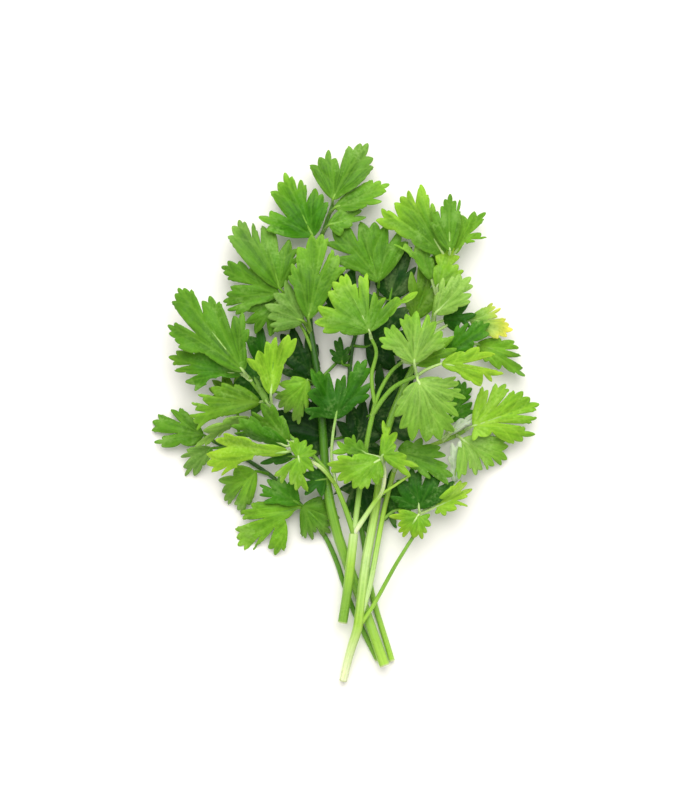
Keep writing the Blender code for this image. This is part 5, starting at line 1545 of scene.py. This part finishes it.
@dataclass
class LongStalk(Stalk):
    """The long pale stalk that forks low down into two stout stems and a thin one, all to the right."""

    def plans(self) -> list[StemPlan | LeafletPlan]:
        """The stalk's stems and leaflets, in the order in which they are laid."""
        return [
            stem("CREAM LIME PALE LIME GREEN GREEN GREEN GREEN", [(-0.8, -107.5), (1.8, -96.5), (5, -86),
                (6.4, -75), (8.2, -60), (10.6, -47), (13, -33), (14.8, -18), (18, -3), (24, 12), (30.5, 25),
                (35, 35), (36.3, 46), (38.6, 56), (41.5, 63)], (1.45, 1.9, 1.8, 1.6, 1.4, 1.2, 0.95, 0.7),
                rise=1, stiff=12),
            stem("PALE PALE LIME LIME LIME GREEN", [(5.4, -85), (9.6, -70), (12.4, -56), (14.4, -45),
                (17, -33), (21, -20.5), (28, -15.5), (36.5, -12), (44, -9), (50, -5.5)], (1.2, 0.75),
                rise=-2),
            stem("LIME GREEN GREEN", [(5.2, -86), (11.2, -77), (20, -61), (27, -49.5), (29.6, -44),
                (30, -40)], (0.85, 0.65), rise=1),
            stem("GREEN", [(14.6, -44), (17.4, -40.3), (21.5, -38.3), (26.5, -38.8)], (0.6, 0.5)),
            leaf("MOSS", [(38, -11.4), (41.5, -7), (42.5, -2)], [[(45.5, 13.6), (48.5, 13), (51.2, 10.4),
                (50.8, 7)], [(51.2, 4.7), (52.2, 1.1), (47, -4)]], [(47.2, 4.2)], rise=-2, droop=0.1),
            leaf("WHITE", [(40, -10.5), (43, -7)], [[(46, -1.8), (52.3, 0.2)], [(51.5, -2.4),
                (47.5, -5.2)]], rise=2, droop=0.1, fold=0.02),
            leaf("DARK", [(30, -40), (29.6, -38)], [[(21.5, -37.6), (18, -33)], [(20.5, -26.5),
                (26.5, -21.5), (30, -22.5)], [(33.5, -23), (38.5, -23)], [(43.5, -27), (39.5, -34)]],
                [(21.8, -32.5), (30.8, -27.5), (38, -28)], rise=1, droop=0.1, fold=0.15),
            leaf("FRESH GOLDEN", [(30, -41.5), (29.3, -40.3)], [[(21.5, -38.2), (17.4, -41.2)],
                [(21, -44.6), (21.4, -47.2), (23.3, -49.3)], [(27.3, -49.5), (31, -50.3), (32.8, -47.6)],
                [(34.2, -44.6), (34, -40)]], [(21.5, -42.8), (25.3, -47.4), (32.3, -45.6)], rise=2,
                droop=0.5, fold=0.04),
            leaf("BRIGHT GOLDEN", [(30, -41), (33, -38.3), (36.3, -37)], [[(43.3, -28.2), (46.3, -26.5),
                (48.7, -27.4)], [(51.3, -30), (49.3, -33)], [(49.2, -36.9), (46, -36.4)], [(44.8, -38),
                (40, -40.7), (36, -39.8)]], [(47.2, -30), (46, -34.2), (44.6, -36)], rise=1, droop=0.35),
            leaf("WHITE", [(33, -38.3), (38.8, -33), (43.8, -27)], [[(42.2, -21), (41.2, -17),
                (42.6, -11.5)], [(46, -10.6), (47.4, -14), (47.4, -20)]], [(44.3, -11.8)], rise=1,
                droop=0.1, fold=0.02, wave=0.0),
            leaf("LEAF", [(20, -23), (20.8, -15)], [[(24.5, -10.5), (30.5, -9.5), (38, -13), (40.3, -16.7)],
                [(41, -20.5), (43, -24.5), (41, -28.2)], [(34, -25.8), (28, -22.5)]], [(37.2, -18),
                (34.5, -23.8)], rise=4, droop=0.35),
            leaf("PALER FRESH", [(44, -9), (46.8, -10)], [[(64.6, -10), (65.7, -13), (65.4, -18.4),
                (63, -20.9)], [(60, -20.8), (57.2, -22.5), (55.9, -20.3)], [(55, -22.4), (52.7, -24.4),
                (50, -21.8)], [(48, -24.3), (45.3, -26)]], [(60.3, -18.3), (54.9, -17.8), (49.5, -18.8)],
                rise=1, droop=0.3),
            leaf("BRIGHT FRESH", [(49, -6), (51.2, -4.8)], [[(54.7, 11), (57.2, 9.6)], [(60, 12.3),
                (64.4, 12.1), (65.6, 9.8)], [(67.3, 9.5), (71.2, 9.1), (74.3, 6.6), (78.2, 4), (76.6, 1.4)],
                [(77, -1.6), (75, -3.8)], [(72.2, -5.4), (76.4, -8.2), (71.2, -10.9), (67.5, -12.1)],
                [(57, -9), (51, -10.6)]], [(57.3, 5.2), (61.5, 3.4), (71, 0.3), (62, -3.2), (60, -7.6)],
                rise=3, droop=0.3),
            leaf("FRESH LEAF", [(28, 19.5), (42, 26), (53, 28)], [[(62, 30.6), (68, 29.2), (69.8, 26.4)],
                [(71, 23.2)], [(71.6, 18.6), (72, 14.8), (67.8, 16)], [(62, 18), (56, 21)]], [(65.5, 25.5),
                (66.3, 22), (64.3, 18.6)], rise=0, droop=0.35),
            leaf("PALER YELLOW", [(33, 30.5), (41.5, 36), (50, 37.5)], [[(56.3, 43), (59.1, 44.5),
                (60.3, 42.8)], [(62.5, 42.4), (61, 38.8)], [(64.3, 38.3), (65.9, 36), (67.3, 33.8),
                (64.8, 31), (61, 30)]], [(58.8, 40.8), (58, 37.6)], rise=1, droop=0.3),
            leaf("DARK", [(35, 35), (39.5, 37.5)], [[(42, 42.8), (49.8, 45)], [(52.5, 40), (50, 34.5)],
                [(44, 33)]], [(47.5, 40.6), (47, 37)], rise=0, droop=0.2),
            leaf("MOSS", [(33, 30.5), (40, 23.5)], [[(43, 31), (44.8, 35.4), (49, 36.2)], [(52.3, 37.4),
                (55, 37.3), (57.9, 36.3), (57.8, 32), (51, 26.5)]], [(49.2, 33.8)], rise=3, droop=0.25,
                fold=0.15),
            leaf("LEAF FRESH", [(36.6, 48), (34.6, 54)], [[(27.5, 62), (19.4, 67.7), (24, 68.2)], [(29, 69),
                (33.5, 67.5)], [(35.6, 61.5)]], [(26.5, 66.2), (33.8, 64)], rise=1, droop=0.15),
            leaf("FRESH GOLDEN", [(36.5, 47), (36.8, 51)], [[(35.4, 58), (36.5, 64.5), (40, 66.5),
                (43.5, 68.4), (46, 63)], [(45.3, 59.8), (47.7, 57.4), (46, 53.5)]], [(43.8, 60.6)], rise=1,
                droop=0.2),
            leaf("PALER", [(35.2, 36), (36, 40)], [[(36.4, 48), (39.2, 54.4)], [(42.8, 55), (46, 56),
                (50.3, 54.8), (51.2, 51)], [(50.5, 48), (50, 44.7), (44.5, 41)]], [(40.4, 51.5),
                (48.5, 49.4)], rise=3, droop=0.22, fold=0.14),
            leaf("FRESH LEAF", [(40.5, 61), (43.8, 64.5)], [[(46.5, 79.5), (52, 81.3), (56.6, 81),
                (55.8, 77.9)], [(54.4, 72.5), (56.7, 70.6)], [(52, 69), (48, 68.6)]], [(50.8, 73.1),
                (51, 70.6)], rise=1, droop=0.3),
            leaf("LEAF BRIGHT", [(40, 59.5), (39.5, 63.5)], [[(28, 67), (20.5, 72.6), (12.6, 77.2),
                (14.7, 82), (17.6, 81.5)], [(19.6, 84.4), (22.3, 86.9), (25.5, 89.4)], [(30.4, 91.9),
                (33.2, 87.8)], [(34.8, 84.2), (36.9, 80)]], [(19, 80.6), (26.4, 87), (33, 84.4)], rise=2,
                droop=0.3),
            leaf("LEAF", [(41.5, 63), (41.8, 65)], [[(33.8, 76), (34.2, 80.2), (36.8, 80.8)], [(38.2, 82.7),
                (39.7, 85.7), (41.9, 88.1), (44.2, 85)], [(45.8, 85.4), (46, 80.5)]], [(37.6, 79.6),
                (44.7, 82.6)], rise=4, droop=0.25),
        ]


@dataclass
class ForkedStalk(Stalk):
    """The stout pale stalk on top, which forks in three and carries the leaves in front."""

    def plans(self) -> list[StemPlan | LeafletPlan]:
        """The stalk's stems and leaflets, in the order in which they are laid."""
        return [
            stem("GREEN GREEN LIME PALE", [(-1, -83.8), (0.8, -72), (2.2, -60), (3.5, -48)], (1.85, 1.75),
                stiff=12),
            stem("GREEN GREEN LIME CREAM", [(3.5, -49), (0.2, -38), (-3.8, -28.5), (-8, -22.8), (-13, -19),
                (-17, -17.2)], (1.15, 0.65), rise=3),
            stem("GREEN", [(-4.6, -27.2), (-9, -20.5), (-15, -14.5), (-23, -8), (-30, 3), (-35.5, 10.5),
                (-39, 15)], (0.8, 0.65), rise=1),
            leaf("DARK MOSS", [(-3.8, -28.5), (-5.4, -16), (-4.8, -8), (-3.8, -2)], [[(-9, -1.4),
                (-14.5, -2.4), (-16.2, 1.6)], [(-15, 8), (-13.6, 17.9), (-10, 17.4), (-6.5, 16.4)],
                [(-3.2, 14.2), (0, 15.6)], [(2.4, 17), (5, 21.4), (8.6, 21.7), (10.4, 18)], [(10.6, 12.5),
                (9.9, 7.2), (4, 3)]], [(-11.2, 3.4), (-4.4, 10.6), (0.8, 11.6), (7.6, 12.4)], rise=1,
                droop=0.2, fold=0.03),
            leaf("OLIVE FRESH", [(-31, 4.5), (-34, 4.8)], [[(-43.5, 12), (-49, 12.4), (-53.5, 10.6)],
                [(-58.6, 7.8), (-56.8, 5.6)], [(-61.5, 4.4), (-60, 1.6)], [(-62.4, -0.8), (-60.6, -3),
                (-59, -6.5), (-50, -1.2)]], [(-53.8, 7), (-57, 3), (-58.4, 0.2)], rise=1, droop=0.25),
            leaf("PALER", [(-27, -1.5), (-33, -2), (-38, -2)], [[(-47, -1.4), (-56.5, -6.6)],
                [(-59.9, -12.9), (-55.6, -12.7)], [(-50.5, -9.2), (-45.5, -5.6)]], [(-55.6, -9), (-51, -8)],
                rise=-1, droop=0.15, fold=0.2),
            leaf("MOSS OLIVE", [(-38, 13.8), (-41.5, 16)], [[(-50, 22.5), (-59, 26), (-67.5, 25.3),
                (-70.3, 22.8), (-68.7, 19.8)], [(-68.3, 17.4), (-63.4, 16.2)], [(-63.9, 12.8), (-60.3, 9.6),
                (-55.5, 12.8), (-50, 15)]], [(-64, 20.2), (-60.6, 15.8)], rise=0, droop=0.3),
            leaf("LEAF", [(-39, 15), (-40.3, 17)], [[(-39.3, 27), (-38, 33.5), (-40.6, 40.5), (-44.2, 39)],
                [(-49.8, 44.7), (-53.8, 47.1), (-57, 45)], [(-61.2, 49.9), (-64.3, 50.4), (-66.7, 50.4),
                (-68, 48), (-69.4, 44.8)], [(-67.8, 36.4), (-70.7, 35.5), (-70.4, 32.2), (-67.9, 29.6),
                (-66.3, 26.6), (-56, 24)]], [(-46, 36), (-58.7, 43), (-61.8, 34)], rise=2, droop=0.3,
                fold=0.06),
            leaf("GREY", [(-29.5, 2.5), (-31, 4.5)], [[(-34.5, 10), (-38.6, 15.6)], [(-36, 14.8),
                (-32.3, 10)]], rise=2, droop=0.1, fold=0.02),
            leaf("BRIGHT", [(-29, 1.5), (-29.4, 8)], [[(-34, 15.5), (-38.3, 21.7), (-34.5, 25.2)],
                [(-31, 28.6), (-27.3, 30.4)], [(-22.6, 31.4), (-19, 29.8), (-24, 20)]], [(-32, 25.6),
                (-26.4, 28.6)], rise=3, droop=-0.1, fold=0.7, wave=0.01),
            leaf("LEAF", [(-19.5, -11), (-22.5, -11)], [[(-24.5, -1), (-28.5, 3.6), (-33.4, 4.2)],
                [(-37, 1), (-37.5, -3), (-32, -8)]], [(-33.5, 0)], rise=1, droop=0.3, fold=0.16),
            leaf("MOSS LEAF", [(-19, -11.5), (-23, -12.8)], [[(-31, -5), (-37.5, -0.8), (-42, -1.7),
                (-45.2, -4.7)], [(-44, -7.6), (-38, -10), (-31, -12)]], [(-42.2, -6)], rise=1, droop=0.3,
                fold=0.16),
            leaf("BRIGHT GOLDEN", [(-16, -14), (-23, -15)], [[(-35, -12), (-43.5, -9), (-48.3, -7.9),
                (-51.6, -10.6)], [(-55.2, -16), (-55.4, -20), (-53.4, -23.4)], [(-49.3, -24.6),
                (-43, -20.6), (-36, -16.6)]], [(-49.8, -13), (-50.5, -22)], rise=2, droop=0.3, fold=0.12,
                radius=0.8),
            leaf("FRESH BRIGHT", [(-17, -17.2), (-18.5, -17)], [[(-21.8, -11), (-19, -9.4), (-15.5, -10.4)],
                [(-13, -12.2), (-11, -14.9)], [(-12.2, -22.6), (-16, -23.6)], [(-14.7, -30.7),
                (-19.5, -30.4), (-21.8, -28)], [(-25.8, -28.1), (-28.3, -24.4)]], [(-15, -12.8),
                (-13.9, -17.2), (-16.8, -24.6), (-22.8, -23.6)], rise=2, droop=0.5, fold=0.04),
            stem("PALE GREEN GREEN GREEN", [(3.8, -49), (5.2, -35), (7, -22), (8.8, -11), (10.4, -3),
                (12, 4)], (1.15, 0.9), rise=3),
            # The cream along this branch is partly painted highlight, where the stem shines.
            stem("CREAM PALE LIME CREAM PALE", [(4.2, -49), (9, -39.5), (13.5, -32.7), (16.6, -28),
                (16.2, -24.6), (15, -21), (14.6, -17.5)], (1.05, 0.65), rise=4, stiff=3.0),
            stem("LIME", [(13.5, -32.7), (18, -29.7), (22, -27), (26, -24.3)], (0.6, 0.5)),
            leaf("LEAF FRESH", [(14.6, -18), (9, -16)], [[(2, -16), (-5, -15.4), (-2.8, -11)], [(0, -9.3),
                (3.4, -8.1)], [(6, -10.2), (8.3, -13.8)]], [(-1.2, -11.6), (4, -11.2)], rise=0, droop=-0.1,
                fold=0.02),
            leaf("FRESH BRIGHT", [(15, -20.5), (14, -18)], [[(4, -15.9), (-3, -16.6), (-7, -20),
                (-5.5, -23.3)], [(-3, -26.4), (-0.4, -27.9)], [(2.8, -29.7), (6, -30.1), (8.9, -29.9)],
                [(12.8, -28.3), (15.2, -25.4)]], [(-3.4, -23.8), (1.2, -27.4), (10, -26.4)], rise=1,
                droop=0.45, fold=0.03),
            leaf("FRESH BRIGHT", [(14.6, -19), (14.8, -16.5)], [[(14.6, -8), (15.3, -2.5), (18, -5)],
                [(20.8, -7.3), (20.4, -12.6)], [(24.5, -16.4), (29.4, -21)], [(26, -24.7), (19, -21)]],
                [(17.4, -7.6), (20, -14.6), (24.6, -21)], rise=2, droop=0.3, fold=0.05),
            stem("GREEN", [(12, 4), (14.5, 10.5), (18.5, 17), (23, 21)], (0.8, 0.65), rise=1),
            leaf("FRESH", [(23, 21), (28, 20)], [[(35.5, 27.8), (43.5, 31)], [(44.5, 26), (37, 19)]],
                [(41, 26.8)], rise=0, droop=0.1, fold=0.3),
            stem("GREEN", [(11.4, 1), (15.5, 6.5), (20, 11), (25, 14), (28.6, 15.2)], (0.95, 0.8), rise=3),
            leaf("BRIGHT GOLDEN", [(28.6, 15.2), (33, 18), (38.5, 20)], [[(45, 24.8), (53, 26.6),
                (59.5, 23.8)], [(63, 16.2), (58.5, 12.6)], [(53.9, 11), (49.5, 13), (44.5, 16.2)]],
                [(47.5, 19.9), (57, 15.4)], rise=2, droop=0.35, fold=0.12),
            leaf("PALER FRESH", [(28.6, 15.2), (28.8, 13.5)], [[(38.5, 14.4), (43.6, 14.1), (45, 11.4)],
                [(46, 9.8), (47.8, 6.2), (42.6, 5.2)], [(44.5, 4.2), (45, -0.9)], [(43.2, -3), (43.6, -7.2),
                (38, -10.4), (32, -11.2)], [(26.5, -10.7), (21.6, -5.6)], [(19.5, -1), (20.3, 4),
                (23, 9.4)]], [(42, 9.6), (41.6, 3.8), (41.4, -1), (29.4, -8.4), (22.2, -2)], rise=3,
                droop=0.4, fold=0.04),
            leaf("PALER FRESH", [(28.2, 15.2), (27, 17.5), (27.4, 20)], [[(19, 24.6), (14.2, 26.6),
                (13.4, 30), (15.5, 34.5), (18.8, 35.5)], [(21.5, 37.6), (24.2, 39.7), (28.5, 41.2)],
                [(33, 39.6), (36.2, 36.6)], [(38.4, 33), (41.1, 30), (39.6, 27.2), (34, 23.6)]],
                [(24.8, 29.3), (30.6, 36), (36, 33)], rise=3, droop=0.3, fold=0.1),
            stem("GREEN", [(12, 4), (10.7, 12), (11, 18), (12.7, 23), (11.6, 27), (10.3, 30.5)],
                (0.85, 0.65), rise=2),
            leaf("LEAF BRIGHT", [(10.3, 30.5), (9.8, 32.5)], [[(0, 31.4), (-8.8, 32.2), (-12.3, 36.4),
                (-10.7, 42.7)], [(-6.9, 48.4), (-4.9, 52.4), (-1.8, 55.3), (0.4, 56.1), (4.4, 51.6)],
                [(5.6, 55), (8.9, 56)], [(11.6, 48.4), (16.4, 46.3)], [(20.5, 46.6), (28.9, 49),
                (21.4, 42.5), (15, 36)]], [(-5.6, 42.6), (5, 47.6), (9.4, 42), (15.2, 43)], rise=2,
                droop=0.28, fold=0.07),
        ]


@dataclass
class Studio:
    """A plain pale floor, soft light from above and from beyond the tips, and a camera looking down."""

    middle: tuple = (0.002, 0.0058)
    camera_height: float = 1.5
    focus_height: float = 0.012
    view_height: float = 0.3196
    sensor: float = 36.0
    floor_size: float = 6.0
    floor_color: tuple = (0.94, 0.925, 0.895)
    sky_strength: float = 0.74
    sky_color: tuple = (1.0, 0.985, 0.955)
    lamp_place: tuple = (0.04, 0.8, 1.4)
    lamp_size: float = 1.5
    lamp_power: float = 25.0
    lamp_color: tuple = (1.0, 0.98, 0.95)

    def build(self) -> None:
        """Builds the floor, the lights and the camera."""
        self.build_floor()
        self.build_light()
        self.build_camera()
        bpy.context.scene.view_settings.view_transform = "Standard"

    def build_floor(self) -> None:
        """Lays the floor under the bunch."""
        half = self.floor_size / 2
        mesh = bpy.data.meshes.new("floor")
        corners = [(-half, -half, 0), (half, -half, 0), (half, half, 0), (-half, half, 0)]
        mesh.from_pydata(corners, [], [(0, 1, 2, 3)])
        material = bpy.data.materials.new("floor_white")
        material.use_nodes = True
        graph = Graph(material.node_tree)
        shader = material.node_tree.nodes["Principled BSDF"]
        shader.inputs["Roughness"].default_value = 0.7
        where = graph.add("ShaderNodeTexCoord").outputs["Object"]
        clouds = graph.noise(where, 3.0, 2.0)
        warm = (self.floor_color[0], self.floor_color[1], self.floor_color[2] - 0.01, 1.0)
        color = graph.blend(clouds, (*self.floor_color, 1.0), warm)
        graph.link(color, shader.inputs["Base Color"])
        mesh.materials.append(material)
        new_object("floor", mesh)

    def build_light(self) -> None:
        """Sets the even light from all around and the soft lamp."""
        world = bpy.data.worlds.new("studio")
        world.use_nodes = True
        sky = world.node_tree.nodes["Background"]
        sky.inputs["Color"].default_value = (*self.sky_color, 1.0)
        sky.inputs["Strength"].default_value = self.sky_strength
        bpy.context.scene.world = world
        lamp = bpy.data.lights.new("soft_lamp", "AREA")
        lamp.shape = "DISK"
        lamp.size = self.lamp_size
        lamp.energy = self.lamp_power
        lamp.color = self.lamp_color
        holder = new_object("soft_lamp", lamp)
        holder.location = self.lamp_place
        aim = Vector((*self.middle, 0.0)) - Vector(self.lamp_place)
        holder.rotation_euler = aim.to_track_quat("-Z", "Y").to_euler()

    def build_camera(self) -> None:
        """Hangs the camera straight above the bunch, with the leaf tips at the top of the picture."""
        data = bpy.data.cameras.new("camera")
        data.sensor_width = self.sensor
        data.lens = self.sensor * (self.camera_height - self.focus_height) / self.view_height
        data.clip_end = 20.0
        camera = new_object("camera", data)
        camera.location = (*self.middle, self.camera_height)
        bpy.context.scene.camera = camera


def main() -> None:
    """Lays and dresses the stalks from the lowest up, then sets up the studio."""
    logging.basicConfig(level=logging.INFO, format="%(name)s: %(message)s")
    heap = Heap()
    shades = PlantShades()
    sweep = StemSweep(StemFinish("stem_green").material(shades))
    stalks = (
        (LeftStalk("left", "stalk_left", Tone.STEM_DARK), BladeFinish("left_leaf_green")),
        (RightStalk("right", "stalk_right", Tone.STEM_DARK), BladeFinish("right_leaf_green")),
        (MiddleStalk("middle", "stalk_middle", Tone.STEM_GREEN), BladeFinish("middle_leaf_green")),
        (LongStalk("long", "stalk_long", Tone.STEM_PALE), BladeFinish("long_leaf_green")),
        (ForkedStalk("forked", "stalk_forked", Tone.STEM_PALE), BladeFinish("forked_leaf_green")),
    )
    for stalk, finish in stalks:
        stalk.build(heap, sweep, finish.material(shades))
    Studio().build()


if __name__ == "__main__":
    main()
